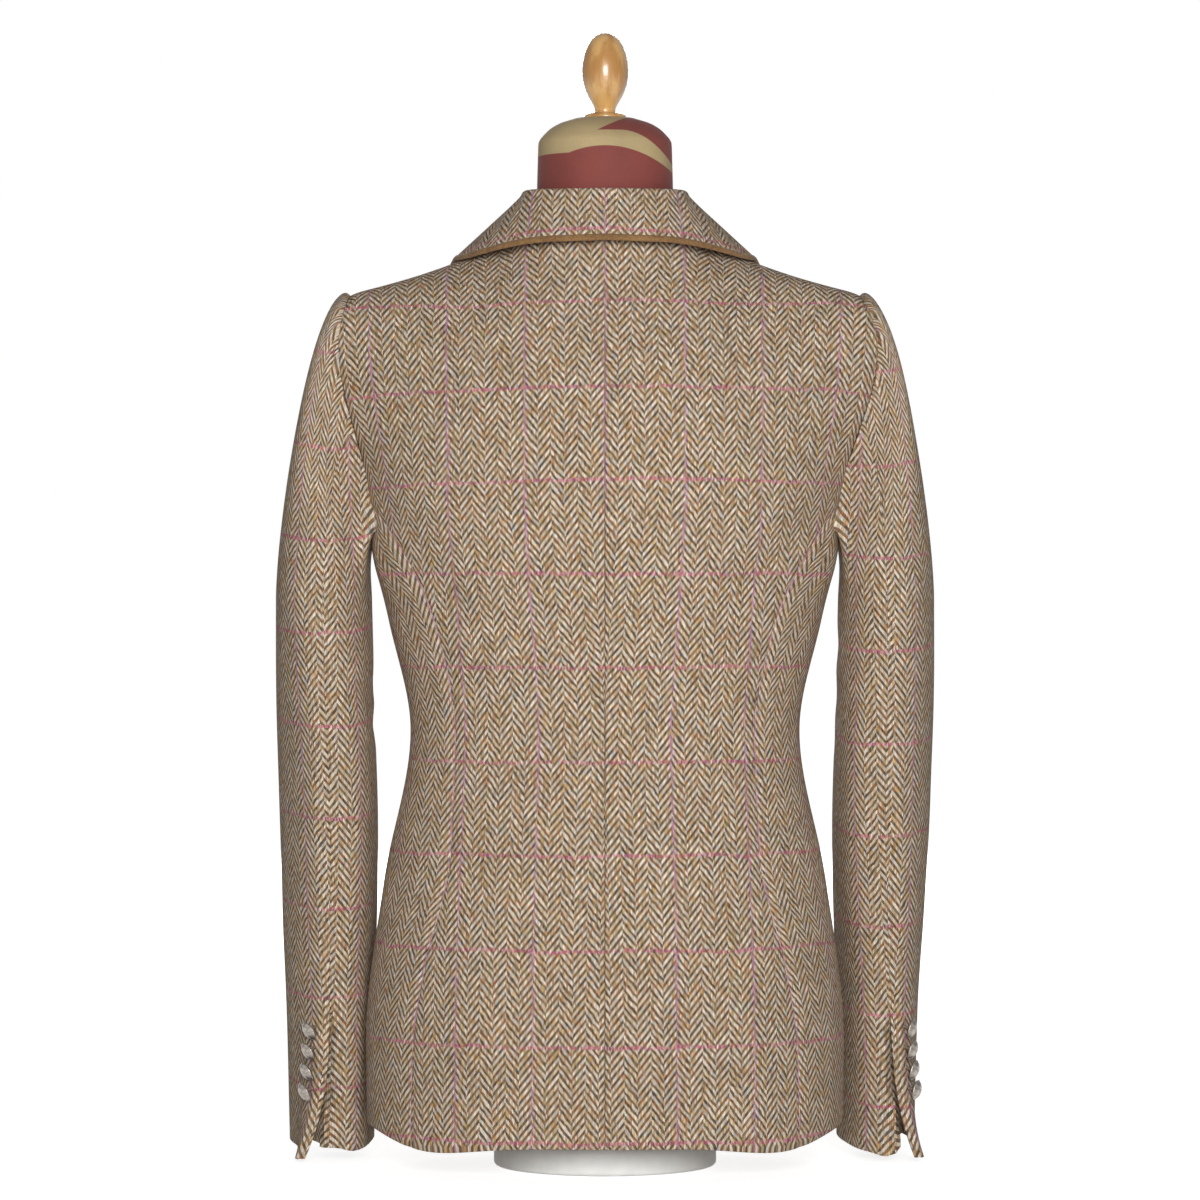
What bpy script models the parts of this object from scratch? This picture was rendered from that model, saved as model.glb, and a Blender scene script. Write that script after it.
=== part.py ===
"""A fitted hacking jacket on a limbless dress form, at real size.

Metres, +Z up. The jacket's front faces -Y and its wearer's left is +X. The foot of the form stands
on z = 0, centred on the origin. Each cloth panel is a grid laid over the body's or the sleeve's
surface and then given its thickness. Every surface is worked out for the left side and mirrored for
the right.
"""

import math
from collections import namedtuple

import bmesh
import bpy
from mathutils import Vector

# Cloth and seams
CLOTH = 0.0020
LAPEL_CLOTH = 0.0022
PIPING_CLOTH = 0.0026
SEAM = 0.0006
LAYER_GAP = 0.0005
LAPEL_GAP = 0.0019

# Shares that a panel loses at each seam, which leave the seam's gap
BACK_TRIM = 0.0024
SIDE_TRIM = 0.0042
TOP_SLEEVE_TRIM = 0.0030
UNDER_SLEEVE_TRIM = 0.0042
SHOULDER_TRIM = 0.006
EDGE_EASE = 0.60

# Grids: the body's panels share their rows, so that their edges meet all along a seam
LOW_ROWS = 13
HIGH_ROWS = 8
CAP_ROWS = 7
ARM_ROWS = 12
LAPEL_ROWS = 10
COLLAR_ROWS = 10
PIPING_ROWS = 2
BACK_COLUMNS = 8
SIDE_COLUMNS = 6
FRONT_COLUMNS = 9
LAPEL_COLUMNS = 4
TOP_SLEEVE_COLUMNS = 13
UNDER_SLEEVE_COLUMNS = 10
COLLAR_COLUMNS = 24
ARMHOLE_STEPS = 24

# Small steps by which a heading is measured, in metres and in shares of a panel
HEADING_STEP = 0.010
NORMAL_STEP = 0.01
MERGE = 0.00005

# Which way is outward, for turning faces
LAPEL_OUTWARD = Vector((0.3, -1.0, 0.2))
AXIS_HEIGHT = 0.3
AXIS_RISE = 0.2
FOLD_RISE = 0.05

# Heights of the body
CHEST = 0.475
UNDERARM = 0.450
BREAK = 0.362
HEM_BACK = 0.024
HEM_DIP = 0.009
HEM_DIP_AT = 46.0
HEM_DIP_SPREAD = 20.0
HEM_SIDE = 0.031
HEM_FRONT = 0.026
HEM_FRONT_TURN = 40.0
UNDERARM_CURVE = 2.6

# Neck and shoulder, on the left side
NAPE = Vector((0.0, 0.060, 0.662))
NECK_POINT = Vector((0.066, 0.006, 0.667))
SHOULDER_TIP = Vector((0.190, -0.004, 0.6235))
NECK_SHARE = 0.40
SHOULDER_HOLLOW = 0.0012
CHEST_REACH = 0.20
NAPE_PULL = Vector((0.0, -0.060, 0.170))
NECK_PULL = Vector((0.0, -0.170, 0.050))
TIP_PULL = Vector((0.0, -0.190, 0.005))
FRONT_NECK_PULL = Vector((0.010, 0.170, 0.110))
FRONT_TIP_PULL = Vector((0.0, 0.200, 0.005))

# Fronts
OVERLAP = 0.018
ROLL_AT_CHEST = 0.026
CORNER_RISE = 0.075
CORNER_SHARE = 0.55
OVER_LIFT = CLOTH + 2.0 * LAYER_GAP + 0.0002
OVER_FROM = 0.060
OVER_TO = 0.026
OVER_FADE = (0.400, 0.470)
GORGE = 1.62
GORGE_GAP = 0.014
LEFT_LAPEL_FROM = 0.398
RIGHT_LAPEL_FROM = 0.368
LAPEL_CLEAR = 0.009

# Sleeves: shares run round the armhole from the shoulder tip by way of the back
HIND_SEAM = 0.262
FORE_SEAM = 0.690
CAP_OUT = 0.27
CAP_UP = 0.22
CAP_DROP = 0.78
SLEEVE_TILT = 0.10
VENT_TOP = 0.118
VENT_LIFT = 0.0035
VENT_SPREAD = 0.22
CUFF_CORNER_DROP = 0.006

# Buttons
CUFF_BUTTON_AT = 0.915
CUFF_BUTTON_HEIGHTS = (0.1000, 0.0852, 0.0704, 0.0556)
CUFF_BUTTON_SIZE = 1.0
FRONT_BUTTON_SIZE = 1.25
FRONT_BUTTON_HEIGHTS = (0.340, 0.235)
BUTTON_DROOP = 0.22
BUTTON_STEPS = 14
SEAT = 0.0003

# Form
FORM_STEPS = 32
TURNED_STEPS = 24
FOOT_RADIUS = 0.080
FOOT_HEIGHT = 0.0497

Section = namedtuple("Section", "height half_width back_depth front_depth squareness")
BODY = (
    Section(0.015, 0.1710, 0.126, 0.122, 2.12),
    Section(0.090, 0.1720, 0.127, 0.124, 2.12),
    Section(0.204, 0.1590, 0.114, 0.118, 2.15),
    Section(0.312, 0.1400, 0.093, 0.109, 2.10),
    Section(0.391, 0.1556, 0.104, 0.128, 2.10),
    Section(0.450, 0.1690, 0.114, 0.141, 2.18),
    Section(0.475, 0.1720, 0.1165, 0.142, 2.20),
)

SeamRow = namedtuple("SeamRow", "height back front")
SIDE_SEAMS = (
    SeamRow(0.015, 0.1380, 0.140),
    SeamRow(0.090, 0.1360, 0.140),
    SeamRow(0.150, 0.1270, 0.133),
    SeamRow(0.225, 0.1095, 0.120),
    SeamRow(0.312, 0.1065, 0.115),
    SeamRow(0.360, 0.1130, 0.123),
    SeamRow(0.398, 0.1240, 0.134),
    SeamRow(0.430, 0.1390, 0.147),
    SeamRow(0.475, 0.1685, 0.165),
)

LapelRow = namedtuple("LapelRow", "up share")
LAPEL = (
    LapelRow(0.70, 0.03),
    LapelRow(0.80, 0.13),
    LapelRow(0.92, 0.25),
    LapelRow(1.15, 0.42),
    LapelRow(1.40, 0.54),
    LapelRow(1.62, 0.61),
)

CollarRow = namedtuple("CollarRow", "along heading stand lean reach rise")
COLLAR = (
    CollarRow(0.00, 0.0, 0.032, 0.006, 0.0125, 0.0020),
    CollarRow(0.25, 44.0, 0.031, 0.006, 0.0200, -0.0010),
    CollarRow(0.50, 90.0, 0.028, 0.0125, 0.0400, -0.0080),
    CollarRow(0.75, 96.0, 0.018, 0.004, 0.0510, -0.0040),
    CollarRow(1.00, 98.0, 0.006, 0.001, 0.0500, 0.0050),
)
COLLAR_FOLD = 0.0034
COLLAR_LIFT = 0.0005
COLLAR_STAND_SHARE = 0.34
COLLAR_FOLD_SHARE = 0.22
PIPING_WIDTH = 0.0050

SleeveRow = namedtuple("SleeveRow", "height centre_x centre_y left_width right_width half_depth turn")
SLEEVE = (
    SleeveRow(0.016, 0.1985, -0.056, 0.0291, 0.0262, 0.050, 19.0),
    SleeveRow(0.110, 0.1990, -0.046, 0.0303, 0.0280, 0.053, 16.0),
    SleeveRow(0.190, 0.1995, -0.032, 0.0338, 0.0325, 0.057, 12.0),
    SleeveRow(0.262, 0.2005, -0.020, 0.0356, 0.0350, 0.060, 8.0),
    SleeveRow(0.334, 0.2020, -0.010, 0.0354, 0.0352, 0.063, 4.0),
    SleeveRow(0.406, 0.2025, -0.004, 0.0345, 0.0345, 0.066, 0.0),
)
CUFF = SLEEVE[0].height
BICEPS = SLEEVE[-1].height
TURN_SCALE = {1: 0.35, -1: 0.8}

FORM = (
    Section(0.050, 0.1580, 0.112, 0.108, 2.12),
    Section(0.090, 0.1600, 0.114, 0.111, 2.12),
    Section(0.204, 0.1470, 0.102, 0.106, 2.12),
    Section(0.312, 0.1290, 0.082, 0.098, 2.05),
    Section(0.391, 0.1440, 0.093, 0.117, 2.05),
    Section(0.450, 0.1560, 0.102, 0.129, 2.10),
    Section(0.510, 0.1590, 0.100, 0.118, 2.10),
    Section(0.560, 0.1580, 0.092, 0.092, 1.95),
    Section(0.595, 0.1500, 0.080, 0.070, 1.75),
    Section(0.620, 0.1320, 0.068, 0.056, 1.45),
    Section(0.640, 0.0935, 0.058, 0.050, 1.20),
    Section(0.656, 0.0570, 0.051, 0.0485, 1.55),
    Section(0.672, 0.0500, 0.048, 0.0480, 2.00),
    Section(0.720, 0.0485, 0.0475, 0.0475, 2.00),
    Section(0.734, 0.0480, 0.0470, 0.0470, 2.00),
    Section(0.742, 0.0425, 0.0418, 0.0418, 2.00),
    Section(0.748, 0.0340, 0.0335, 0.0335, 2.00),
    Section(0.752, 0.0220, 0.0217, 0.0217, 2.00),
)

Turned = namedtuple("Turned", "radius height")
FLANGE = (
    Turned(0.0, 0.7523),
    Turned(0.0150, 0.7523),
    Turned(0.0150, 0.7545),
    Turned(0.0125, 0.7562),
    Turned(0.0, 0.7562),
)
FINIAL = (
    Turned(0.0, 0.7565),
    Turned(0.0075, 0.7565),
    Turned(0.0074, 0.7590),
    Turned(0.0100, 0.7640),
    Turned(0.0138, 0.7710),
    Turned(0.0162, 0.7790),
    Turned(0.0168, 0.7865),
    Turned(0.0160, 0.7945),
    Turned(0.0138, 0.8030),
    Turned(0.0098, 0.8095),
    Turned(0.0050, 0.8130),
    Turned(0.0, 0.8140),
)
FOOT = (
    Turned(0.0, 0.0),
    Turned(FOOT_RADIUS, 0.0),
    Turned(FOOT_RADIUS, FOOT_HEIGHT),
    Turned(0.0, FOOT_HEIGHT),
)
BUTTON = (
    Turned(0.0, 0.0),
    Turned(0.0020, 0.0),
    Turned(0.0020, 0.0026),
    Turned(0.0066, 0.0030),
    Turned(0.0074, 0.0042),
    Turned(0.0062, 0.0060),
    Turned(0.0036, 0.0073),
    Turned(0.0, 0.0078),
)

Paint = namedtuple("Paint", "red green blue roughness metallic")
TWEED = Paint(0.39, 0.29, 0.21, 0.95, 0.0)
SUEDE = Paint(0.28, 0.15, 0.06, 0.90, 0.0)
PEWTER = Paint(0.45, 0.44, 0.42, 0.35, 1.0)
COVER = Paint(0.50, 0.38, 0.20, 0.90, 0.0)
WOOD = Paint(0.60, 0.33, 0.11, 0.30, 0.0)
FOOT_PAINT = Paint(0.80, 0.79, 0.76, 0.60, 0.0)


def mix(start, end, share):
    return start + (end - start) * share


def ramp(value):
    """A smooth step from 0 to 1."""
    held = min(1.0, max(0.0, value))
    return held * held * (3.0 - 2.0 * held)


def table(rows, at, column):
    """The value of a table's column on a smooth curve through its rows, which never overshoots."""
    key = [row[0] for row in rows]
    value = [getattr(row, column) for row in rows]
    step = [(value[i + 1] - value[i]) / (key[i + 1] - key[i]) for i in range(len(rows) - 1)]
    slope = [step[0]]
    for before, after in zip(step, step[1:]):
        slope.append(2.0 * before * after / (before + after) if before * after > 0 else 0.0)
    slope.append(step[-1])
    i = max(0, min(len(step) - 1, sum(1 for k in key[1:-1] if at >= k)))
    width = key[i + 1] - key[i]
    share = (at - key[i]) / width
    if share < 0.0 or share > 1.0:
        end = 0 if share < 0.0 else -1
        return value[end] + slope[end] * (at - key[end])
    return hermite(value[i], slope[i] * width, value[i + 1], slope[i + 1] * width, share)


def hermite(start, start_pull, end, end_pull, share):
    square = share * share
    cube = square * share
    return (
        start * (2 * cube - 3 * square + 1)
        + start_pull * (cube - 2 * square + share)
        + end * (3 * square - 2 * cube)
        + end_pull * (cube - square)
    )


def ring_point(rows, angle, height):
    """A point of a horizontal section; the angle runs from the centre back round by the left side."""
    power = 2.0 / table(rows, height, "squareness")
    half_width = table(rows, height, "half_width")
    depth = table(rows, height, "back_depth" if math.cos(angle) > 0 else "front_depth")
    return Vector((
        half_width * math.copysign(abs(math.sin(angle)) ** power, math.sin(angle)),
        depth * math.copysign(abs(math.cos(angle)) ** power, math.cos(angle)),
        height,
    ))


def angle_at(x, height):
    """The angle, from the centre line, at which the body's section is x wide."""
    share = min(1.0, abs(x) / table(BODY, height, "half_width"))
    return math.copysign(math.asin(share ** (table(BODY, height, "squareness") / 2.0)), x)


def chest_pull(angle):
    """The way a column of cloth is heading as it leaves the chest."""
    below = ring_point(BODY, angle, CHEST - HEADING_STEP)
    return (ring_point(BODY, angle, CHEST) - below).normalized() * CHEST_REACH


def shoulder_line(share):
    point = NECK_POINT.lerp(SHOULDER_TIP, share)
    point.z -= SHOULDER_HOLLOW * math.sin(math.pi * share)
    return point


def back_hem(angle):
    """The hem dips towards the side-back seams and rises at the sides."""
    degrees = math.degrees(angle)
    dip = HEM_DIP * math.exp(-((degrees - HEM_DIP_AT) / HEM_DIP_SPREAD) ** 2)
    return mix(HEM_BACK, HEM_SIDE, ramp(degrees / 90.0)) - dip


def side_hem(angle):
    if angle < math.pi / 2:
        return back_hem(angle)
    return mix(HEM_SIDE, HEM_FRONT, ramp((math.degrees(angle) - 90.0) / HEM_FRONT_TURN))


def back_point(across, up):
    """The back from its centre seam outwards; up is 1 at the chest and 2 at the shoulder."""
    if up <= 1.0:
        hem = back_hem(across * angle_at(SIDE_SEAMS[0].back, HEM_BACK))
        height = mix(hem, CHEST, up)
        return ring_point(BODY, across * angle_at(table(SIDE_SEAMS, height, "back"), height), height)
    angle = across * angle_at(SIDE_SEAMS[-1].back, CHEST)
    if across < NECK_SHARE:
        turn = across / NECK_SHARE * math.pi / 2
        top = Vector((
            NECK_POINT.x * math.sin(turn),
            mix(NECK_POINT.y, NAPE.y, math.cos(turn)),
            mix(NECK_POINT.z, NAPE.z, math.cos(turn)),
        ))
        pull = NAPE_PULL.lerp(NECK_PULL, ramp(across / NECK_SHARE))
    else:
        share = (across - NECK_SHARE) / (1.0 - NECK_SHARE)
        top = shoulder_line(share)
        pull = NECK_PULL.lerp(TIP_PULL, share)
    return hermite(ring_point(BODY, angle, CHEST), chest_pull(angle), top, pull, up - 1.0)


def side_point(across, up):
    """The side body from its back seam to its front one, up to the armhole's lower curve."""
    top = mix(UNDERARM, CHEST, abs(2.0 * across - 1.0) ** UNDERARM_CURVE)
    first = angle_at(SIDE_SEAMS[0].back, HEM_BACK)
    last = math.pi - angle_at(SIDE_SEAMS[0].front, HEM_FRONT)
    height = mix(side_hem(mix(first, last, across)), top, up)
    back = angle_at(table(SIDE_SEAMS, height, "back"), height)
    front = math.pi - angle_at(table(SIDE_SEAMS, height, "front"), height)
    return ring_point(BODY, mix(back, front, across), height)


def front_edge(height):
    """How far the front's edge, or its roll line above the break, lies from the centre front."""
    return mix(-OVERLAP, ROLL_AT_CHEST, max(0.0, (height - BREAK) / (CHEST - BREAK)))


def front_base(across, up):
    """The front from its edge or roll line to the side seam or armhole, on the body's surface."""
    if up <= 1.0:
        corner = max(0.0, 1.0 - across / CORNER_SHARE)
        last = math.pi - angle_at(SIDE_SEAMS[0].front, HEM_FRONT)
        hem = mix(HEM_FRONT, side_hem(last), across)
        hem += CORNER_RISE * (1.0 - math.sqrt(1.0 - corner * corner))
        height = mix(hem, CHEST, up)
        first = angle_at(front_edge(height), height)
        last = angle_at(table(SIDE_SEAMS, height, "front"), height)
        return ring_point(BODY, math.pi - mix(first, last, across), height)
    first = angle_at(ROLL_AT_CHEST, CHEST)
    last = angle_at(SIDE_SEAMS[-1].front, CHEST)
    angle = math.pi - mix(first, last, across)
    chest = ring_point(BODY, angle, CHEST)
    pull = FRONT_NECK_PULL.lerp(FRONT_TIP_PULL, across)
    return hermite(chest, chest_pull(angle), shoulder_line(across), pull, up - 1.0)


def normal_of(surface, across, up, outward):
    """The surface's unit normal, worked out from nearby points and turned to face outward."""
    right = min(1.0, across + NORMAL_STEP)
    left = max(0.0, across - NORMAL_STEP)
    along = surface(right, up) - surface(left, up)
    rise = surface(across, up + NORMAL_STEP) - surface(across, up - NORMAL_STEP)
    found = along.cross(rise).normalized()
    return found if found.dot(outward) > 0 else -found


def front_point(across, up, side):
    """The front; the right one lies over the left where they cross."""
    point = front_base(across, up)
    if side > 0:
        return point
    near = ramp((OVER_FROM - point.x) / (OVER_FROM - OVER_TO))
    low = ramp((OVER_FADE[1] - point.z) / (OVER_FADE[1] - OVER_FADE[0]))
    return point + Vector((0.0, -OVER_LIFT * near * low, 0.0))


def lapel_start(place, side):
    """Where the lapel begins: at the roll line, or clear of the right front that lies over the left."""
    height = min(CHEST, mix(HEM_FRONT + CORNER_RISE, CHEST, place))
    edge = front_edge(height)
    if side < 0 or LAPEL_CLEAR - edge < edge:
        return 0.0
    first = angle_at(edge, height)
    last = angle_at(table(SIDE_SEAMS, height, "front"), height)
    return (angle_at(LAPEL_CLEAR - edge, height) - first) / (last - first)


def lapel_point(across, up, side):
    """The lapel on the front's own points, moved out."""
    lowest = LEFT_LAPEL_FROM if side > 0 else RIGHT_LAPEL_FROM
    first = (lowest - HEM_FRONT - CORNER_RISE) / (CHEST - HEM_FRONT - CORNER_RISE)
    place = mix(first, GORGE - GORGE_GAP, up)
    share = mix(lapel_start(place, side), table(LAPEL, place, "share"), across)
    normal = normal_of(lambda a, u: front_point(a, u, side), share, place, LAPEL_OUTWARD)
    return front_point(share, place, side) + normal * LAPEL_GAP


def armhole_points(count):
    """The armhole from the shoulder tip down the back, under the arm and up the front."""
    steps = [i / count for i in range(count)]
    return (
        [back_point(1.0, 2.0 - s) for s in steps]
        + [side_point(s, 1.0) for s in steps]
        + [front_base(1.0, 1.0 + s) for s in steps]
        + [SHOULDER_TIP.copy()]
    )


ARMHOLE = armhole_points(ARMHOLE_STEPS)
ARMHOLE_RUN = [0.0]
for before, after in zip(ARMHOLE, ARMHOLE[1:]):
    ARMHOLE_RUN.append(ARMHOLE_RUN[-1] + (after - before).length)


def armhole_at(share):
    """The armhole's point at a share of its length."""
    target = (share % 1.0) * ARMHOLE_RUN[-1]
    i = max(j for j in range(len(ARMHOLE_RUN) - 1) if ARMHOLE_RUN[j] <= target)
    part = (target - ARMHOLE_RUN[i]) / (ARMHOLE_RUN[i + 1] - ARMHOLE_RUN[i])
    return ARMHOLE[i].lerp(ARMHOLE[i + 1], part)


def sleeve_ring(share, height, side):
    """A point of the sleeve below the armhole; the section turns as the sleeve swings forward."""
    angle = 2.0 * math.pi * share
    turn = math.radians(table(SLEEVE, height, "turn")) * TURN_SCALE[side]
    width = table(SLEEVE, height, "left_width" if side > 0 else "right_width")
    u = width * math.cos(angle)
    v = table(SLEEVE, height, "half_depth") * math.sin(angle)
    y = v * math.cos(turn) - u * math.sin(turn)
    return Vector((
        table(SLEEVE, height, "centre_x") + u * math.cos(turn) + v * math.sin(turn),
        table(SLEEVE, height, "centre_y") + y,
        height - SLEEVE_TILT * y,
    ))


def sleeve_point(share, down, side):
    """The sleeve; down is 0 at the armhole, 1 under the arm and 2 at the cuff."""
    if down >= 1.0:
        return sleeve_ring(share, mix(BICEPS, CUFF, down - 1.0), side)
    start = armhole_at(share) + Vector((SEAM, 0.0, 0.0))
    end = sleeve_ring(share, BICEPS, side)
    reach = (end - start).length
    rise = max(0.0, math.cos(2.0 * math.pi * share))
    start_pull = Vector((CAP_OUT, 0.0, CAP_UP * rise)) * reach
    end_pull = sleeve_ring(share, BICEPS - HEADING_STEP, side) - end
    return hermite(start, start_pull, end, end_pull.normalized() * CAP_DROP * reach, down)


def sleeve_centre(height):
    return Vector((table(SLEEVE, height, "centre_x"), table(SLEEVE, height, "centre_y"), height))


def moved_out(point, amount):
    """A point of the sleeve moved straight away from the sleeve's middle."""
    away = point - sleeve_centre(point.z)
    away.z = 0.0
    return point + away.normalized() * amount


def top_sleeve_point(across, down, side):
    """The top sleeve, whose vent edge lifts a little and hangs lowest at its corner."""
    point = sleeve_point(mix(FORE_SEAM - 1.0, HIND_SEAM, across), down, side)
    near = ramp((across - 1.0 + VENT_SPREAD) / VENT_SPREAD)
    low = max(0.0, (VENT_TOP - point.z) / VENT_TOP)
    point = moved_out(point, VENT_LIFT * near * low)
    point.z -= CUFF_CORNER_DROP * near * low ** 3
    return point


def under_sleeve_point(across, down, side):
    return sleeve_point(mix(HIND_SEAM, FORE_SEAM, across), down, side)


def collar_frame(along):
    """The neck seam, both sides of the fold and the leaf edge; along is 0 at the centre back."""
    if along <= 0.5:
        seam = back_point(NECK_SHARE * along * 2.0, 2.0)
    else:
        seam = front_base(0.0, mix(2.0, GORGE, (along - 0.5) * 2.0))
    seam = seam + Vector((0.0, 0.0, COLLAR_LIFT))
    heading = math.radians(table(COLLAR, along, "heading"))
    out = Vector((math.sin(heading), math.cos(heading), 0.0))
    up = Vector((0.0, 0.0, 1.0))
    inner = seam + up * table(COLLAR, along, "stand") - out * table(COLLAR, along, "lean")
    outer = inner + out * (2.0 * COLLAR_FOLD)
    leaf = seam + out * table(COLLAR, along, "reach") + up * table(COLLAR, along, "rise")
    return seam, inner, outer, leaf, out


def mirrored(point, side):
    return Vector((point.x * side, point.y, point.z))


def collar_point(across, over):
    """The collar from its right end to its left; over is 0 at the neck seam and 1 at the leaf edge."""
    side = -1 if across < 0.5 else 1
    seam, inner, outer, leaf, out = collar_frame(abs(2.0 * across - 1.0))
    fold_end = COLLAR_STAND_SHARE + COLLAR_FOLD_SHARE
    if over <= COLLAR_STAND_SHARE:
        point = seam.lerp(inner, over / COLLAR_STAND_SHARE)
    elif over < fold_end:
        turn = (over - COLLAR_STAND_SHARE) / COLLAR_FOLD_SHARE * math.pi
        middle = inner.lerp(outer, 0.5)
        point = middle - out * (COLLAR_FOLD * math.cos(turn))
        point.z += COLLAR_FOLD * math.sin(turn)
    else:
        point = outer.lerp(leaf, (over - fold_end) / (1.0 - fold_end))
    return mirrored(point, side)


def piping_point(across, over):
    """The piping runs on from the leaf edge the way the collar falls."""
    side = -1 if across < 0.5 else 1
    _, _, outer, leaf, _ = collar_frame(abs(2.0 * across - 1.0))
    fall = (leaf - outer).normalized()
    return mirrored(leaf + fall * (LAYER_GAP + PIPING_WIDTH * over), side)


def painted(name, paint):
    material = bpy.data.materials.new(name)
    material.use_nodes = True
    shader = material.node_tree.nodes["Principled BSDF"]
    shader.inputs["Base Color"].default_value = (paint.red, paint.green, paint.blue, 1.0)
    shader.inputs["Roughness"].default_value = paint.roughness
    shader.inputs["Metallic"].default_value = paint.metallic
    return material


def placed(name, mesh, paint):
    """A new object of this mesh in the part's collection, with its own material."""
    mesh.materials.append(painted(name, paint))
    made = bpy.data.objects.new(name, mesh)
    PART.objects.link(made)
    return made


def shell(name, surface, columns, rows, outward, thickness=CLOTH, paint=TWEED, offset=-1.0):
    """A grid laid over a surface of two shares, turned to face outward and made solid."""
    grid = bmesh.new()
    bmesh.ops.create_grid(grid, x_segments=columns, y_segments=rows, size=0.5)
    for vert in grid.verts:
        vert.co = surface(vert.co.x + 0.5, vert.co.y + 0.5)
    grid.normal_update()
    facing = 0.0
    for face in grid.faces:
        facing += face.normal.dot(outward(face.calc_center_median())) * face.calc_area()
    if facing < 0:
        bmesh.ops.reverse_faces(grid, faces=grid.faces)
    mesh = bpy.data.meshes.new(name)
    grid.to_mesh(mesh)
    grid.free()
    made = placed(name, mesh, paint)
    solid = made.modifiers.new("thickness", "SOLIDIFY")
    solid.thickness = thickness
    solid.offset = offset
    solid.use_even_offset = True
    solid.use_quality_normals = True
    return made


def turned(name, rows, paint, steps, scale=1.0, flip=False):
    """A solid of revolution about its own Z axis."""
    profile = bmesh.new()
    verts = [profile.verts.new((row.radius * scale, 0.0, row.height * scale)) for row in rows]
    for start, end in zip(verts, verts[1:]):
        profile.edges.new((start, end))
    mesh = bpy.data.meshes.new(name)
    profile.to_mesh(mesh)
    profile.free()
    made = placed(name, mesh, paint)
    screw = made.modifiers.new("turn", "SCREW")
    screw.steps = steps
    screw.render_steps = steps
    screw.use_merge_vertices = True
    screw.merge_threshold = MERGE
    screw.use_normal_calculate = True
    screw.use_normal_flip = flip
    return made


def button(name, point, normal, scale):
    """A domed button on a shank, drooping a little from the cloth it is sewn to."""
    made = turned(name, BUTTON, PEWTER, BUTTON_STEPS, scale)
    made.location = point + normal * (SEAT + BUTTON_DROOP * BUTTON[1].radius * scale)
    made.rotation_mode = "QUATERNION"
    made.rotation_quaternion = (normal + Vector((0.0, 0.0, -BUTTON_DROOP))).to_track_quat("Z", "Y")
    return made


def split(share, first, second):
    """A share of all rows, as 0 to 1 over the first rows and 1 to 2 over the second."""
    row = share * (first + second)
    return row / first if row < first else 1.0 + (row - first) / second


def eased(share):
    """Columns drawn closer together towards both edges, where a sleeve turns most."""
    return share - EDGE_EASE * math.sin(2.0 * math.pi * share) / (2.0 * math.pi)


def body_row(share):
    return min(2.0 - SHOULDER_TRIM, split(share, LOW_ROWS, HIGH_ROWS))


def sleeve_row(share):
    return split(share, CAP_ROWS, ARM_ROWS)


def inset(share, trim):
    return mix(trim, 1.0 - trim, share)


def from_axis(point):
    return Vector((point.x, point.y, AXIS_RISE * (point.z - AXIS_HEIGHT)))


def from_sleeve(side):
    def away(point):
        centre = mirrored(sleeve_centre(min(point.z, BICEPS)), side)
        return Vector((point.x - centre.x, point.y - centre.y, max(0.0, point.z - BICEPS)))
    return away


def from_fold(point):
    """Out of the collar's fold: away from the neck on the fall."""
    return Vector((point.x, point.y, FOLD_RISE))


def build_body(side, word):
    """The back, side body, front and lapel of one side."""
    shell(
        f"back_{word}",
        lambda s, t: mirrored(back_point(inset(s, BACK_TRIM), body_row(t)), side),
        BACK_COLUMNS, LOW_ROWS + HIGH_ROWS, from_axis,
    )
    shell(
        f"side_{word}",
        lambda s, t: mirrored(side_point(inset(s, SIDE_TRIM), t), side),
        SIDE_COLUMNS, LOW_ROWS, from_axis,
    )
    shell(
        f"front_{word}",
        lambda s, t: mirrored(front_point(inset(s, BACK_TRIM), body_row(t), side), side),
        FRONT_COLUMNS, LOW_ROWS + HIGH_ROWS, from_axis,
    )
    shell(
        f"lapel_{word}",
        lambda s, t: mirrored(lapel_point(inset(s, SIDE_TRIM), t, side), side),
        LAPEL_COLUMNS, LAPEL_ROWS, from_axis, LAPEL_CLOTH, TWEED, 1.0,
    )


def build_sleeve(side, word):
    """The two sleeve pieces of one side and the buttons of its cuff."""
    def top(across, down):
        return top_sleeve_point(across, down, side)

    def under(across, down):
        return under_sleeve_point(across, down, side)

    shell(
        f"top_sleeve_{word}",
        lambda s, t: mirrored(top(inset(eased(s), TOP_SLEEVE_TRIM), sleeve_row(t)), side),
        TOP_SLEEVE_COLUMNS, CAP_ROWS + ARM_ROWS, from_sleeve(side),
    )
    shell(
        f"under_sleeve_{word}",
        lambda s, t: mirrored(under(inset(eased(s), UNDER_SLEEVE_TRIM), sleeve_row(t)), side),
        UNDER_SLEEVE_COLUMNS, CAP_ROWS + ARM_ROWS, from_sleeve(side),
    )
    for number, height in enumerate(CUFF_BUTTON_HEIGHTS, 1):
        down = 1.0 + (BICEPS - height) / (BICEPS - CUFF)
        point = top(CUFF_BUTTON_AT, down)
        normal = normal_of(top, CUFF_BUTTON_AT, down, point - sleeve_centre(point.z))
        name = f"cuff_button_{word}_{number}"
        button(name, mirrored(point, side), mirrored(normal, side), CUFF_BUTTON_SIZE)


def build_collar():
    shell("collar", collar_point, COLLAR_COLUMNS, COLLAR_ROWS, from_fold)
    shell("collar_piping", piping_point, COLLAR_COLUMNS, PIPING_ROWS, from_fold, PIPING_CLOTH, SUEDE)


def build_front_buttons():
    """Two buttons on the right front, at the centre line."""
    for number, height in enumerate(FRONT_BUTTON_HEIGHTS, 1):
        point = ring_point(BODY, math.pi, height) + Vector((0.0, -OVER_LIFT, 0.0))
        button(f"front_button_{number}", point, Vector((0.0, -1.0, 0.0)), FRONT_BUTTON_SIZE)


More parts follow.
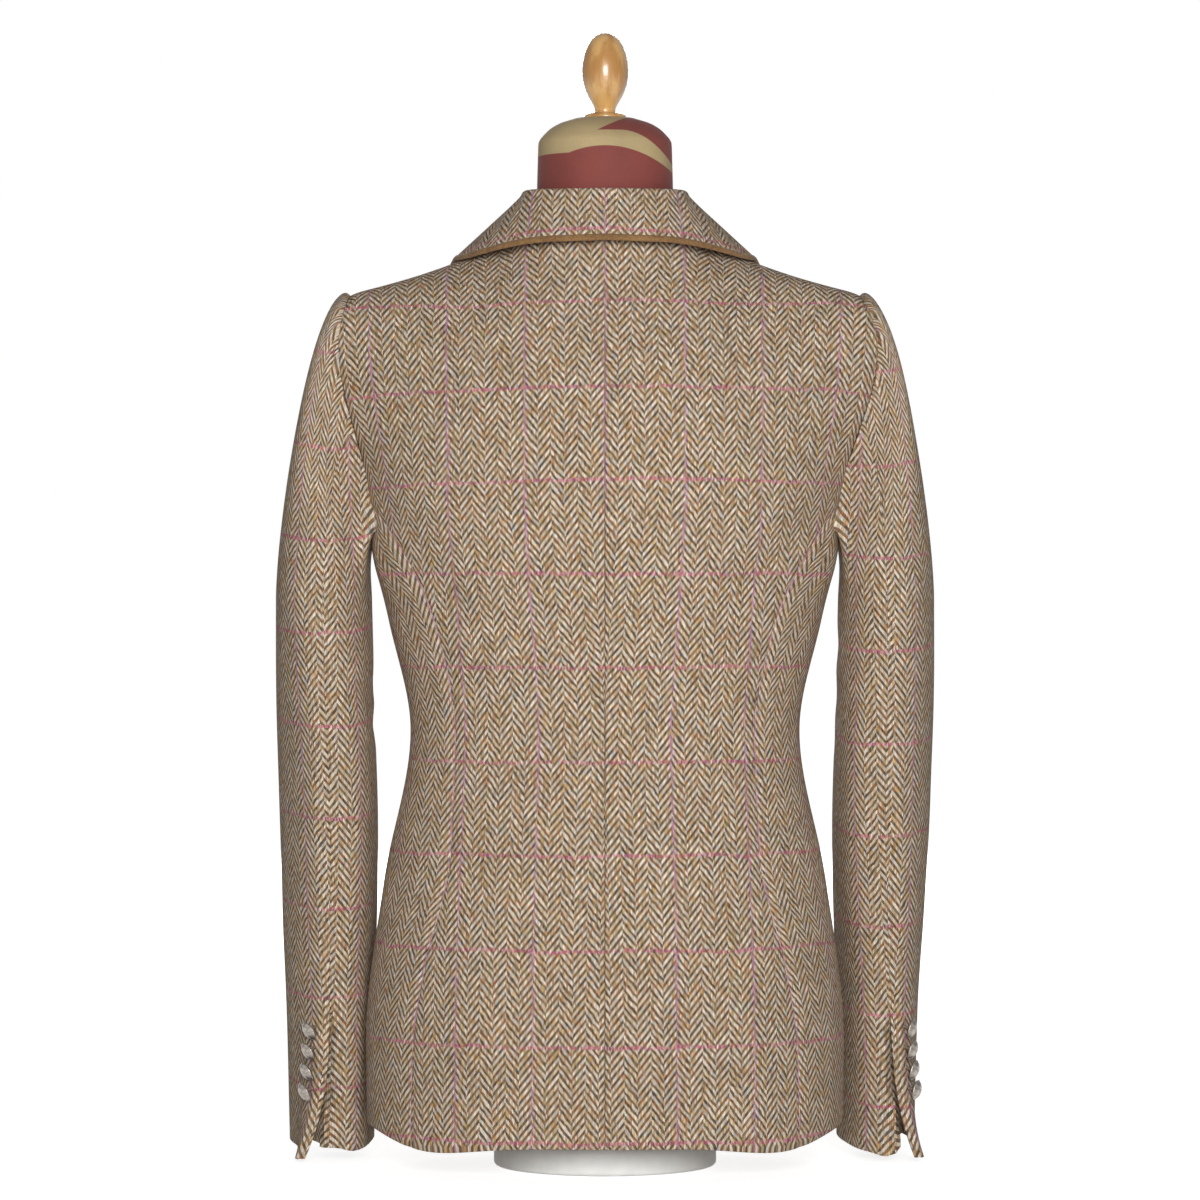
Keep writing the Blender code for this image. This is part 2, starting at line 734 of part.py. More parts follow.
def build_form():
    """The torso lofted through its sections, the flange and finial on its neck and the foot beneath."""
    loft = bmesh.new()
    rings = []
    for row in FORM:
        angles = [2.0 * math.pi * i / FORM_STEPS for i in range(FORM_STEPS)]
        rings.append([loft.verts.new(ring_point(FORM, angle, row.height)) for angle in angles])
    for low, high in zip(rings, rings[1:]):
        for i in range(FORM_STEPS):
            j = (i + 1) % FORM_STEPS
            loft.faces.new((low[i], low[j], high[j], high[i]))
    loft.faces.new(rings[0])
    loft.faces.new(rings[-1])
    bmesh.ops.recalc_face_normals(loft, faces=loft.faces)
    mesh = bpy.data.meshes.new("form_body")
    loft.to_mesh(mesh)
    loft.free()
    placed("form_body", mesh, COVER)
    turned("form_flange", FLANGE, WOOD, TURNED_STEPS)
    turned("form_finial", FINIAL, WOOD, TURNED_STEPS)
    turned("form_foot", FOOT, FOOT_PAINT, TURNED_STEPS, flip=True)


for leftover in list(bpy.data.objects):
    bpy.data.objects.remove(leftover, do_unlink=True)
PART = bpy.data.collections.new("hacking_jacket_on_dress_form")
bpy.context.scene.collection.children.link(PART)

for side, word in ((1, "left"), (-1, "right")):
    build_body(side, word)
    build_sleeve(side, word)
build_collar()
build_front_buttons()
build_form()
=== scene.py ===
# %% [markdown]
# A hacking jacket on a dress form
#
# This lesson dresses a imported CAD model: every solid of the jacket is replaced by finer cloth that
# follows the same surfaces, with seams, folds and a woven finish. The frame is loaded first, because
# all later pieces are placed in its coordinates: metres, +Z up, the jacket's back towards +Y.

# %% Load the frame
import math
from collections import namedtuple

import bpy
import numpy as np
from mathutils import Matrix, Vector


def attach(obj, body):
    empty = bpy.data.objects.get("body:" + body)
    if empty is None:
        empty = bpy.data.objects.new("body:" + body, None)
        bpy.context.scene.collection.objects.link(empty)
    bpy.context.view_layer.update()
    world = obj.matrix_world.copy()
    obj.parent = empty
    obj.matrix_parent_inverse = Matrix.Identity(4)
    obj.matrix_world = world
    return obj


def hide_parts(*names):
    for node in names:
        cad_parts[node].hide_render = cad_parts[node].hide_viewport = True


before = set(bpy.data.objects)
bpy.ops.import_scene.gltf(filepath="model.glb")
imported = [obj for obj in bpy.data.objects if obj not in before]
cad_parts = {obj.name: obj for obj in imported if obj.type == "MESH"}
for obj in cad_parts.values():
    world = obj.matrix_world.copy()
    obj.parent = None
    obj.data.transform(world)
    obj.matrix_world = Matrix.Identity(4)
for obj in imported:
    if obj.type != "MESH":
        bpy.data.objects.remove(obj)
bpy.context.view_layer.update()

print("frame nodes:", len(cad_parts))

# %% [markdown]
# The driving sizes
#
# A tailor works from a few measures: the heights of hem, underarm and chest, and the points of the
# neck and shoulder. The same measures drove the solids, so the cloth lies on them, apart from some
# millimetres where a seam, a cuff or a vent was eased afterwards.

# %% Heights and points of the body
CHEST, UNDERARM, BREAK, WAIST = 0.475, 0.450, 0.362, 0.312
HEM_BACK, HEM_SIDE, HEM_FRONT = 0.024, 0.031, 0.026
NAPE = np.array((0.0, 0.060, 0.662))
NECK_POINT = np.array((0.066, 0.006, 0.667))
SHOULDER_TIP = np.array((0.183, -0.004, 0.6265))
print("nape to hem:", round(NAPE[2] - HEM_BACK, 3), "m")

# %% [markdown]
# Sections and seams of the body
#
# The body is measured as a dress form is: half width, depth to the back and to the front at a few
# heights, and how square each section is. A side seam is given by how far out it lies. Curve objects
# could hold the same shapes, but rows of numbers are easier to compare with a tape measure.

# %% Tables of the body
Section = namedtuple("Section", "height half_width back_depth front_depth squareness")
BODY = (
    Section(0.015, 0.1710, 0.126, 0.122, 2.12),
    Section(0.090, 0.1720, 0.127, 0.124, 2.12),
    Section(0.204, 0.1590, 0.114, 0.118, 2.15),
    Section(0.312, 0.1400, 0.093, 0.109, 2.10),
    Section(0.391, 0.1556, 0.104, 0.128, 2.10),
    Section(0.450, 0.1690, 0.114, 0.141, 2.18),
    Section(0.475, 0.1720, 0.1165, 0.142, 2.20),
)
SeamRow = namedtuple("SeamRow", "height back front")
SIDE_SEAMS = (
    SeamRow(0.015, 0.1380, 0.140),
    SeamRow(0.090, 0.1360, 0.140),
    SeamRow(0.150, 0.1270, 0.133),
    SeamRow(0.225, 0.1095, 0.120),
    SeamRow(0.312, 0.1065, 0.115),
    SeamRow(0.360, 0.1130, 0.123),
    SeamRow(0.398, 0.1240, 0.134),
    SeamRow(0.430, 0.1390, 0.147),
    SeamRow(0.475, 0.1685, 0.165),
)
print("tables:", len(BODY), "body sections and", len(SIDE_SEAMS), "heights of the side seams")

# %% [markdown]
# Smooth curves through the tables
#
# A spline through table rows can overshoot and make bumps that no tailor cut. The curve used here
# takes its slope at each row from the steps on both sides, and none where they disagree in sign, so
# it never swings past a row. All of it works on whole grids of points at once, which is fast.

# %% Curves and small helpers
def mix(start, end, share):
    return start + (end - start) * share


def ramp(value):
    held = np.clip(value, 0.0, 1.0)
    return held * held * (3.0 - 2.0 * held)


def hermite(start, start_pull, end, end_pull, share):
    square, cube = share**2, share**3
    return (
        start * (2 * cube - 3 * square + 1)
        + start_pull * (cube - 2 * square + share)
        + end * (3 * square - 2 * cube)
        + end_pull * (cube - square)
    )


def table(rows, at, column):
    """A column of a table on a smooth curve through its rows, for any number of heights at once."""
    key = np.array([row[0] for row in rows])
    value = np.array([getattr(row, column) for row in rows])
    step = np.diff(value) / np.diff(key)
    agree = step[:-1] * step[1:] > 0
    slope = np.concatenate((step[:1], np.zeros(len(rows) - 2), step[-1:]))
    slope[1:-1][agree] = (2.0 * step[:-1] * step[1:])[agree] / (step[:-1] + step[1:])[agree]
    at = np.asarray(at, float)
    i = np.clip(np.searchsorted(key, at, side="right") - 1, 0, len(step) - 1)
    width = key[i + 1] - key[i]
    share = np.clip((at - key[i]) / width, 0.0, 1.0)
    inside = hermite(value[i], slope[i] * width, value[i + 1], slope[i + 1] * width, share)
    return inside + slope[0] * np.minimum(at - key[0], 0.0) + slope[-1] * np.maximum(at - key[-1], 0.0)


def xyz(x, y, z):
    return np.stack(np.broadcast_arrays(x, y, z), -1).astype(float)


def long(value):
    """A grid of shares, made ready to multiply a grid of points."""
    return np.asarray(value, float)[..., None]


def unit(vectors):
    return vectors / np.maximum(np.linalg.norm(vectors, axis=-1, keepdims=True), 1e-12)


print("half width at the waist:", float(table(BODY, WAIST, "half_width")))

# %% [markdown]
# The surfaces of the body
#
# Below the chest the body is a stack of rounded sections, and a panel is the stretch of each section
# between two seams. Above the chest each column of cloth bends over to the neck or the shoulder on
# its own curve. Every surface takes two shares: how far across the panel, and how far up.

# %% Sections, shoulder line and hem
HEADING_STEP, CHEST_REACH = 0.010, 0.20
SHOULDER_HOLLOW = 0.0032
HEM_DIP, HEM_DIP_AT, HEM_DIP_SPREAD, HEM_FRONT_TURN = 0.009, 46.0, 20.0, 40.0


def ring_point(rows, angle, height):
    power = 2.0 / table(rows, height, "squareness")
    back, front = table(rows, height, "back_depth"), table(rows, height, "front_depth")
    sine, cosine = np.sin(angle), np.cos(angle)
    x = table(rows, height, "half_width") * np.sign(sine) * np.abs(sine) ** power
    y = np.where(cosine > 0, back, front) * np.sign(cosine) * np.abs(cosine) ** power
    return xyz(x, y, height)


def angle_at(x, height):
    share = np.minimum(1.0, np.abs(x) / table(BODY, height, "half_width"))
    return np.sign(x) * np.arcsin(share ** (table(BODY, height, "squareness") / 2.0))


def chest_pull(angle):
    below = ring_point(BODY, angle, CHEST - HEADING_STEP)
    return unit(ring_point(BODY, angle, CHEST) - below) * CHEST_REACH


def shoulder_line(share):
    point = mix(NECK_POINT, SHOULDER_TIP, long(share))
    point[..., 2] -= SHOULDER_HOLLOW * np.sin(np.pi * share)
    return point


def back_hem(angle):
    degrees = np.degrees(angle)
    dip = HEM_DIP * np.exp(-(((degrees - HEM_DIP_AT) / HEM_DIP_SPREAD) ** 2))
    return mix(HEM_BACK, HEM_SIDE, ramp(degrees / 90.0)) - dip


def side_hem(angle):
    front = mix(HEM_SIDE, HEM_FRONT, ramp((np.degrees(angle) - 90.0) / HEM_FRONT_TURN))
    return np.where(angle < np.pi / 2, back_hem(angle), front)


print("hem at the side:", round(float(side_hem(np.pi / 2)), 3), "m")

# %% [markdown]
# The back
#
# Each half runs from the centre seam to the side seam, and above the chest on to the neck and the
# shoulder. It could be sculpted, but a formula keeps both halves and their seams in step. A pull is the
# way in which cloth arrives at a point, and how strongly. Towards the armhole the cloth bows out over
# the shoulder blade, more on the wearer's right.

# %% Back surface
NECK_SHARE = 0.40
NAPE_PULL = np.array((0.0, -0.060, 0.170))
NECK_PULL = np.array((0.0, -0.170, 0.050))
TIP_PULL = np.array((0.0, -0.190, 0.005))
ARM_BOW, BOW_SHARE, BOW_TURN = {1: 0.0118, -1: 0.0165}, 0.35, 0.45


def back_top(across):
    """Where each column of the back ends, on the neck or the shoulder, and how it arrives there."""
    neck = np.clip(across / NECK_SHARE, 0.0, 1.0)
    sine, cosine = np.sin(neck * np.pi / 2), np.cos(neck * np.pi / 2)
    neckline = xyz(
        NECK_POINT[0] * sine,
        mix(NECK_POINT[1], NAPE[1], cosine),
        mix(NECK_POINT[2], NAPE[2], cosine),
    )
    share = np.clip((across - NECK_SHARE) / (1.0 - NECK_SHARE), 0.0, 1.0)
    on_neck = long(across) < NECK_SHARE
    to_neck = mix(NAPE_PULL, NECK_PULL, long(ramp(neck)))
    to_shoulder = mix(NECK_PULL, TIP_PULL, long(share))
    return np.where(on_neck, neckline, shoulder_line(share)), np.where(on_neck, to_neck, to_shoulder)


def back_point(across, up, side=1):
    """The back from its centre seam outwards; up is 1 at the chest and 2 at the shoulder."""
    hem = back_hem(across * angle_at(SIDE_SEAMS[0].back, HEM_BACK))
    height = mix(hem, CHEST, np.minimum(up, 1.0))
    below = ring_point(BODY, across * angle_at(table(SIDE_SEAMS, height, "back"), height), height)
    angle = across * angle_at(SIDE_SEAMS[-1].back, CHEST)
    chest = ring_point(BODY, angle, CHEST)
    top, pull = back_top(across)
    above = hermite(chest, chest_pull(angle), top, pull, long(np.maximum(up, 1.0) - 1.0))
    rise = np.sin(np.pi * np.clip(up - 1.0, 0.0, 1.0)) ** 2
    bow = ARM_BOW[side] * rise * ramp((across - 1.0 + BOW_SHARE) / BOW_SHARE)
    above = above + xyz(bow, -BOW_TURN * bow, 0.0)
    return np.where(long(up) <= 1.0, below, above)


print("shoulder tip:", back_point(np.array(1.0), np.array(2.0)).round(3))

# %% [markdown]
# The side body and the front
#
# The side body fills the room between the two side seams and ends in the armhole's lower curve. The
# front starts at its edge, or higher up at the roll line where the lapel turns back, and its lower
# corner is rounded off. The right front is lifted where it lies over the left.

# %% Side and front surfaces
UNDERARM_CURVE = 2.6
FRONT_NECK_PULL = np.array((0.010, 0.170, 0.110))
FRONT_TIP_PULL = np.array((0.0, 0.200, 0.005))
OVERLAP, ROLL_AT_CHEST = 0.018, 0.026
CORNER_RISE, CORNER_SHARE = 0.075, 0.55
OVER_LIFT, OVER_FROM, OVER_TO = 0.0032, 0.060, 0.026
OVER_FADE = (0.400, 0.470)


def side_point(across, up):
    """The side body from its back seam to its front one, up to the armhole's lower curve."""
    top = mix(UNDERARM, CHEST, np.abs(2.0 * across - 1.0) ** UNDERARM_CURVE)
    first = angle_at(SIDE_SEAMS[0].back, HEM_BACK)
    last = np.pi - angle_at(SIDE_SEAMS[0].front, HEM_FRONT)
    height = mix(side_hem(mix(first, last, across)), top, up)
    back = angle_at(table(SIDE_SEAMS, height, "back"), height)
    front = np.pi - angle_at(table(SIDE_SEAMS, height, "front"), height)
    return ring_point(BODY, mix(back, front, across), height)


def front_edge(height):
    return mix(-OVERLAP, ROLL_AT_CHEST, np.maximum(0.0, (height - BREAK) / (CHEST - BREAK)))


def front_base(across, up):
    """The front from its edge or roll line to the side seam or armhole."""
    corner = np.maximum(0.0, 1.0 - across / CORNER_SHARE)
    last = np.pi - angle_at(SIDE_SEAMS[0].front, HEM_FRONT)
    hem = mix(HEM_FRONT, side_hem(last), across) + CORNER_RISE * (1.0 - np.sqrt(1.0 - corner**2))
    height = mix(hem, CHEST, np.minimum(up, 1.0))
    first = angle_at(front_edge(height), height)
    last = angle_at(table(SIDE_SEAMS, height, "front"), height)
    below = ring_point(BODY, np.pi - mix(first, last, across), height)
    edge, seam = angle_at(ROLL_AT_CHEST, CHEST), angle_at(SIDE_SEAMS[-1].front, CHEST)
    angle = np.pi - mix(edge, seam, across)
    pull = mix(FRONT_NECK_PULL, FRONT_TIP_PULL, long(across))
    chest = ring_point(BODY, angle, CHEST)
    above = long(np.maximum(up, 1.0) - 1.0)
    above = hermite(chest, chest_pull(angle), shoulder_line(across), pull, above)
    return np.where(long(up) <= 1.0, below, above)


def front_point(across, up, side):
    """The front; the right one lies over the left where they cross."""
    point = front_base(across, up)
    if side < 0:
        near = ramp((OVER_FROM - point[..., 0]) / (OVER_FROM - OVER_TO))
        low = ramp((OVER_FADE[1] - point[..., 2]) / (OVER_FADE[1] - OVER_FADE[0]))
        point[..., 1] -= OVER_LIFT * near * low
    return point


print("front edge at the break:", float(front_edge(BREAK)), "m")

# %% [markdown]
# The measures of the sleeves
#
# An arm is measured round at a few heights, and each oval has its own place and turn, because the arm
# swings forward below the elbow. A pressed sleeve is flatter or squarer than an oval at its back, so
# its two faces have their own roundness. The sleeves hang differently, so some values differ between
# the wearer's left, 1, and right, -1.

# %% Sleeve sections
SleeveRow = namedtuple("SleeveRow", "height centre_x centre_y left_width right_width half_depth turn")
SLEEVE = (
    SleeveRow(0.016, 0.1985, -0.056, 0.0291, 0.0262, 0.050, 19.0),
    SleeveRow(0.110, 0.1990, -0.046, 0.0303, 0.0280, 0.053, 16.0),
    SleeveRow(0.190, 0.1995, -0.032, 0.0338, 0.0325, 0.057, 12.0),
    SleeveRow(0.262, 0.2005, -0.020, 0.0356, 0.0350, 0.060, 8.0),
    SleeveRow(0.334, 0.2020, -0.010, 0.0354, 0.0352, 0.063, 4.0),
    SleeveRow(0.406, 0.2025, -0.004, 0.0345, 0.0345, 0.066, 0.0),
)
CUFF_DROP = 0.004
CUFF, BICEPS = SLEEVE[0].height - CUFF_DROP, SLEEVE[-1].height
OUTER_FACE, INNER_FACE, FACE_FROM, FACE_RISE = {1: 1.42, -1: 1.62}, 3.3, 0.42, 0.14
SLEEVE_SWELL, SWELL_FROM, SWELL_RISE = {1: 0.0034, -1: 0.0}, 0.26, 0.15
TURN_SCALE, SLEEVE_TILT = {1: 0.35, -1: 0.8}, 0.10
print("sleeve sections:", len(SLEEVE), "from", CUFF, "to", BICEPS, "m")

# %% [markdown]
# The armhole
#
# A set-in sleeve starts at the armhole, which is simply the open edge that back, side and front leave
# together. It is followed once round, from the shoulder tip down the back and up the front. A place on
# it is then found by its share of the whole length, as one would mark it with a tape.

# %% Armhole
SIDES = ((1, "left"), (-1, "right"))
ARMHOLE_STEPS = 60


def armhole_line(side):
    steps = np.arange(ARMHOLE_STEPS) / ARMHOLE_STEPS
    ones = np.ones(ARMHOLE_STEPS)
    back, front = back_point(ones, 2.0 - steps, side), front_base(ones, 1.0 + steps)
    return np.concatenate((back, side_point(steps, ones), front, SHOULDER_TIP[None]))


ARMHOLE = {side: armhole_line(side) for side, word in SIDES}


def armhole_run(side):
    step = np.linalg.norm(np.diff(ARMHOLE[side], axis=0), axis=1)
    return np.concatenate(([0.0], np.cumsum(step)))


def armhole_at(share, side):
    length = armhole_run(side)
    at = np.mod(share, 1.0) * length[-1]
    return xyz(*(np.interp(at, length, ARMHOLE[side][:, axis]) for axis in range(3)))


print("armhole length:", round(float(armhole_run(1)[-1]), 3), "m")

# %% [markdown]
# The surfaces of the sleeves
#
# From the armhole the cap swells out a little and falls to the upper arm, and the arm runs down through
# turned ovals that swing forward, as an arm does at rest. A curve with a bevel could make a plain tube,
# but not the cap, which blends a slanting armhole into an upright oval. The sleeve's edge is tucked in
# under the armhole's, more below the arm, so that no gap shows along the seam.

# %% Sleeve surfaces
CAP_OUT, CAP_UP, CAP_DROP = 0.34, 0.22, 0.78
ARM_TUCK, UNDER_TUCK, TUCK_FROM, TUCK_RISE = 0.0006, 0.0018, 0.28, 0.08


def sleeve_ring(share, height, side):
    angle = 2.0 * np.pi * share
    turn = np.radians(table(SLEEVE, height, "turn")) * TURN_SCALE[side]
    width = table(SLEEVE, height, "left_width" if side > 0 else "right_width")
    swell = SLEEVE_SWELL[side] * ramp((SWELL_FROM - height) / SWELL_RISE)
    cosine, sine = np.cos(angle), np.sin(angle)
    face = np.where(cosine > 0, OUTER_FACE[side], INNER_FACE)
    power = mix(1.0, 2.0 / face, ramp((FACE_FROM - height) / FACE_RISE) * (sine > 0))
    u = (width + swell * (cosine > 0)) * np.sign(cosine) * np.abs(cosine) ** power
    v = table(SLEEVE, height, "half_depth") * np.sign(sine) * np.abs(sine) ** power
    x = table(SLEEVE, height, "centre_x") + u * np.cos(turn) + v * np.sin(turn)
    y = v * np.cos(turn) - u * np.sin(turn)
    return xyz(x, table(SLEEVE, height, "centre_y") + y, height - SLEEVE_TILT * y)


def sleeve_point(share, down, side):
    """The sleeve; down is 0 at the armhole, 1 under the arm and 2 at the cuff."""
    arm = sleeve_ring(share, mix(BICEPS, CUFF, np.maximum(down, 1.0) - 1.0), side)
    place = np.mod(share, 1.0)
    hidden = ramp((place - TUCK_FROM) / TUCK_RISE) * ramp((1.0 - place) / TUCK_RISE)
    start = armhole_at(share, side) - xyz(mix(ARM_TUCK, UNDER_TUCK, hidden), 0.0, 0.0)
    end = sleeve_ring(share, np.full_like(share, BICEPS), side)
    reach = np.linalg.norm(end - start, axis=-1, keepdims=True)
    rise = np.maximum(0.0, np.cos(2.0 * np.pi * share))
    start_pull = xyz(CAP_OUT, 0.0, CAP_UP * rise) * reach
    end_pull = unit(sleeve_ring(share, np.full_like(share, BICEPS - HEADING_STEP), side) - end)
    cap = hermite(start, start_pull, end, end_pull * CAP_DROP * reach, long(np.minimum(down, 1.0)))
    return np.where(long(down) >= 1.0, arm, cap)


def sleeve_centre(height):
    held = np.minimum(height, BICEPS)
    return xyz(table(SLEEVE, held, "centre_x"), table(SLEEVE, held, "centre_y"), height)


def moved_out(point, amount):
    away = point - sleeve_centre(point[..., 2])
    away[..., 2] = 0.0
    return point + unit(away) * long(amount)


print("middle of a cuff:", sleeve_centre(CUFF).round(3))

# %% [markdown]
# The cuff vents
#
# Each cuff has a vent at the hind-arm seam: the top sleeve's edge stands free over the under sleeve,
# which runs on a little beneath it. On the wearer's right the vent gapes and its flap flares out, on
# the left it lies closer and its corner swings back, so the two sides have different sizes.

# %% Vented sleeve pieces
HIND_SEAM, FORE_SEAM = 0.262, 0.690
Vent = namedtuple("Vent", "lift splay drop rise wall slant sag")
VENTS = {
    1: Vent(0.0085, 0.0215, 0.0042, 0.0060, 0.034, 0.130, -0.0040),
    -1: Vent(0.0100, 0.0185, 0.0030, 0.0120, 0.026, 0.146, 0.0030),
}
VENT_TOP, VENT_OPENING, VENT_SPREAD, VENT_START = 0.118, 0.25, 0.28, 0.35
UNDERLAP, UNDERLAP_SPREAD, UNDERLAP_DEPTH, WALL_WIDTH = 0.26, 0.18, 0.0100, 0.044
RISE_AT, RISE_SPREAD = 0.02, 0.20
SAG_AT, SAG_SPREAD = 0.03, 0.12
HEM_PART = 0.5 * VENT_TOP


def vent_low(point):
    """How far below the top of the vent a point lies: 0 there and 1 at the floor."""
    return np.clip((VENT_TOP - point[..., 2]) / VENT_TOP, 0.0, 1.0)


def vent_open(point):
    """How far the vent has come open: 0 at its top and 1 a quarter of the way down."""
    return ramp(vent_low(point) / VENT_OPENING)


def top_sleeve_point(across, down, side):
    """The top sleeve from its fore seam to its vent, whose edge stands off and flares out."""
    vent = VENTS[side]
    point = sleeve_point(mix(FORE_SEAM - 1.0, HIND_SEAM, across), down, side)
    near = ramp((across - 1.0 + VENT_SPREAD) / VENT_SPREAD)
    low = vent_low(point)
    point = moved_out(point, vent.lift * near * vent_open(point) * mix(VENT_START, 1.0, low))
    point[..., 0] += near * vent.splay * low**3
    point[..., 2] -= vent.drop * near * low**3
    return point


def tucked_under(across, plain):
    """Where the under sleeve's columns lie: beside the vent they run on beneath the top sleeve."""
    near = ramp((UNDERLAP_SPREAD - across) / UNDERLAP_SPREAD)
    return across - UNDERLAP * near * vent_open(plain)


def under_sleeve_point(across, down, side):
    """The under sleeve from its hind seam, where it dives beneath the vent, to its fore seam."""
    vent = VENTS[side]
    plain = sleeve_point(mix(HIND_SEAM, FORE_SEAM, across), down, side)
    tucked = tucked_under(across, plain)
    point = sleeve_point(mix(HIND_SEAM, FORE_SEAM, tucked), down, side)
    slant = vent.slant * vent_low(plain) ** 3
    deep = ramp((vent.wall - slant - tucked) / WALL_WIDTH)
    point = moved_out(point, -UNDERLAP_DEPTH * deep * vent_open(plain))
    bottom = np.clip((HEM_PART - plain[..., 2]) / HEM_PART, 0.0, 1.0)
    sag = vent.sag * np.exp(-(((tucked - SAG_AT) / SAG_SPREAD) ** 2))
    point[..., 2] += (vent.rise * ramp((RISE_AT - tucked) / RISE_SPREAD) - sag) * bottom
    return point


print("vents:", VENTS)

# %% [markdown]
# The measures of the collar and lapels
#
# A collar runs from the nape round the neck and down to the gorge, where it meets the lapel. Each row
# of its table is a station: its heading, how high it stands and leans, and how far its leaf reaches out
# and rises. A lapel needs only its width on the way up, as a share of the front.

# %% Collar and lapel stations
LapelRow = namedtuple("LapelRow", "up share")
LAPEL = (
    LapelRow(0.70, 0.03),
    LapelRow(0.80, 0.13),
    LapelRow(0.92, 0.25),
    LapelRow(1.15, 0.42),
    LapelRow(1.40, 0.54),
    LapelRow(1.62, 0.61),
)
CollarRow = namedtuple("CollarRow", "along heading stand lean reach rise")
COLLAR = (
    CollarRow(0.00, 0.0, 0.032, 0.006, 0.0125, 0.0020),
    CollarRow(0.25, 44.0, 0.031, 0.006, 0.0200, -0.0010),
    CollarRow(0.50, 90.0, 0.028, 0.0125, 0.0400, -0.0080),
    CollarRow(0.75, 96.0, 0.018, 0.004, 0.0510, -0.0040),
    CollarRow(1.00, 98.0, 0.006, 0.001, 0.0500, 0.0050),
)
COLLAR_FOLD, COLLAR_LIFT = 0.0034, 0.0005
STAND_SHARE, FOLD_SHARE = 0.34, 0.22
GORGE, GORGE_GAP = 1.62, 0.014
LEFT_LAPEL_FROM, RIGHT_LAPEL_FROM, LAPEL_CLEAR = 0.398, 0.368, 0.009
print("stations:", len(COLLAR), "of the collar and", len(LAPEL), "of a lapel")

# %% [markdown]
# The surface of the collar
#
# The collar is one band that stands up from the neck seam, folds over and falls outside. A strip could
# be bent round the neck by hand, but here only its lines are found: the seam it is sewn to, the two
# sides of the fold and the leaf edge. Every other point lies between them.

# %% Collar surface
LEAF_SETTLE, SETTLE_FROM, SETTLE_RISE, SETTLE_TO, SETTLE_FALL = 0.0055, 0.15, 0.30, 0.80, 0.25
UPWARDS = np.array((0.0, 0.0, 1.0))


def collar_frame(along):
    """The lines of the collar: neck seam, both sides of the fold, leaf edge, and the way outwards."""
    back = back_point(NECK_SHARE * np.minimum(1.0, along * 2.0), np.full_like(along, 2.0))
    front = front_base(np.zeros_like(along), mix(2.0, GORGE, np.clip((along - 0.5) * 2.0, 0.0, 1.0)))
    seam = np.where(long(along) <= 0.5, back, front) + np.array((0.0, 0.0, COLLAR_LIFT))
    heading = np.radians(table(COLLAR, along, "heading"))
    out = xyz(np.sin(heading), np.cos(heading), 0.0)
    stand, lean = table(COLLAR, along, "stand"), table(COLLAR, along, "lean")
    inner = seam + UPWARDS * long(stand) - out * long(lean)
    outer = inner + out * (2.0 * COLLAR_FOLD)
    settle = ramp((along - SETTLE_FROM) / SETTLE_RISE) * ramp((SETTLE_TO - along) / SETTLE_FALL)
    rise = table(COLLAR, along, "rise") - LEAF_SETTLE * settle
    leaf = seam + out * long(table(COLLAR, along, "reach")) + UPWARDS * long(rise)
    return seam, inner, outer, leaf, out


def collar_point(across, over):
    """The collar from its right end to its left; over is 0 at the neck seam and 1 at the leaf edge."""
    seam, inner, outer, leaf, out = collar_frame(np.abs(2.0 * across - 1.0))
    fold_end = STAND_SHARE + FOLD_SHARE
    stand = mix(seam, inner, long(np.clip(over / STAND_SHARE, 0.0, 1.0)))
    turn = np.clip((over - STAND_SHARE) / FOLD_SHARE, 0.0, 1.0) * np.pi
    fold = mix(inner, outer, 0.5) - out * long(COLLAR_FOLD * np.cos(turn))
    fold[..., 2] += COLLAR_FOLD * np.sin(turn)
    fall = mix(outer, leaf, long(np.clip((over - fold_end) / (1.0 - fold_end), 0.0, 1.0)))
    point = np.where(long(over) <= STAND_SHARE, stand, np.where(long(over) < fold_end, fold, fall))
    point[..., 0] *= np.where(across < 0.5, -1.0, 1.0)
    return point


print("collar reach at its ends:", COLLAR[-1].reach, "m")

# %% [markdown]
# The surface of the lapels
#
# A lapel is the front's own edge turned back: it starts at the roll line with a small round turn, then
# lies on the front at a steady height. It could be folded over by a simulation, but worked out from
# the front's own surface it can't sink into it.

# %% Lapel surface
LAPEL_ROLL, LAPEL_ROLL_SHARE = 0.00205, 0.16
NORMAL_STEP, LAPEL_FACING = 0.004, np.array((0.3, -1.0, 0.2))


def lapel_start(place, side):
    height = np.minimum(CHEST, mix(HEM_FRONT + CORNER_RISE, CHEST, place))
    edge = front_edge(height)
    first = angle_at(edge, height)
    last = angle_at(table(SIDE_SEAMS, height, "front"), height)
    clear = (angle_at(LAPEL_CLEAR - edge, height) - first) / (last - first)
    return np.where((side > 0) & (LAPEL_CLEAR > 2.0 * edge), clear, 0.0)


def lapel_point(across, up, side):
    """The lapel from its roll line to its outer edge, round a small turn and then flat on the front."""
    lowest = LEFT_LAPEL_FROM if side > 0 else RIGHT_LAPEL_FROM
    first = (lowest - HEM_FRONT - CORNER_RISE) / (CHEST - HEM_FRONT - CORNER_RISE)
    place = mix(first, GORGE - GORGE_GAP, up)
    start = lapel_start(place, side)
    flat = np.clip((across - LAPEL_ROLL_SHARE) / (1.0 - LAPEL_ROLL_SHARE), 0.0, 1.0)
    share = mix(start, table(LAPEL, place, "share"), flat)
    base = front_point(share, place, side)
    inward = unit(front_point(share + NORMAL_STEP, place, side) - base)
    rise = front_point(share, place + NORMAL_STEP, side) - base
    normal = unit(np.cross(rise, inward))
    normal *= np.sign((normal * LAPEL_FACING).sum(-1, keepdims=True))
    turn = np.clip(across / LAPEL_ROLL_SHARE, 0.0, 1.0) * np.pi
    lift, back = LAPEL_ROLL * (1.0 - np.cos(turn)), LAPEL_ROLL * np.sin(turn)
    return base + normal * long(lift) - inward * long(back)


print("lapels lie", 2.0 * LAPEL_ROLL, "m above the fronts")

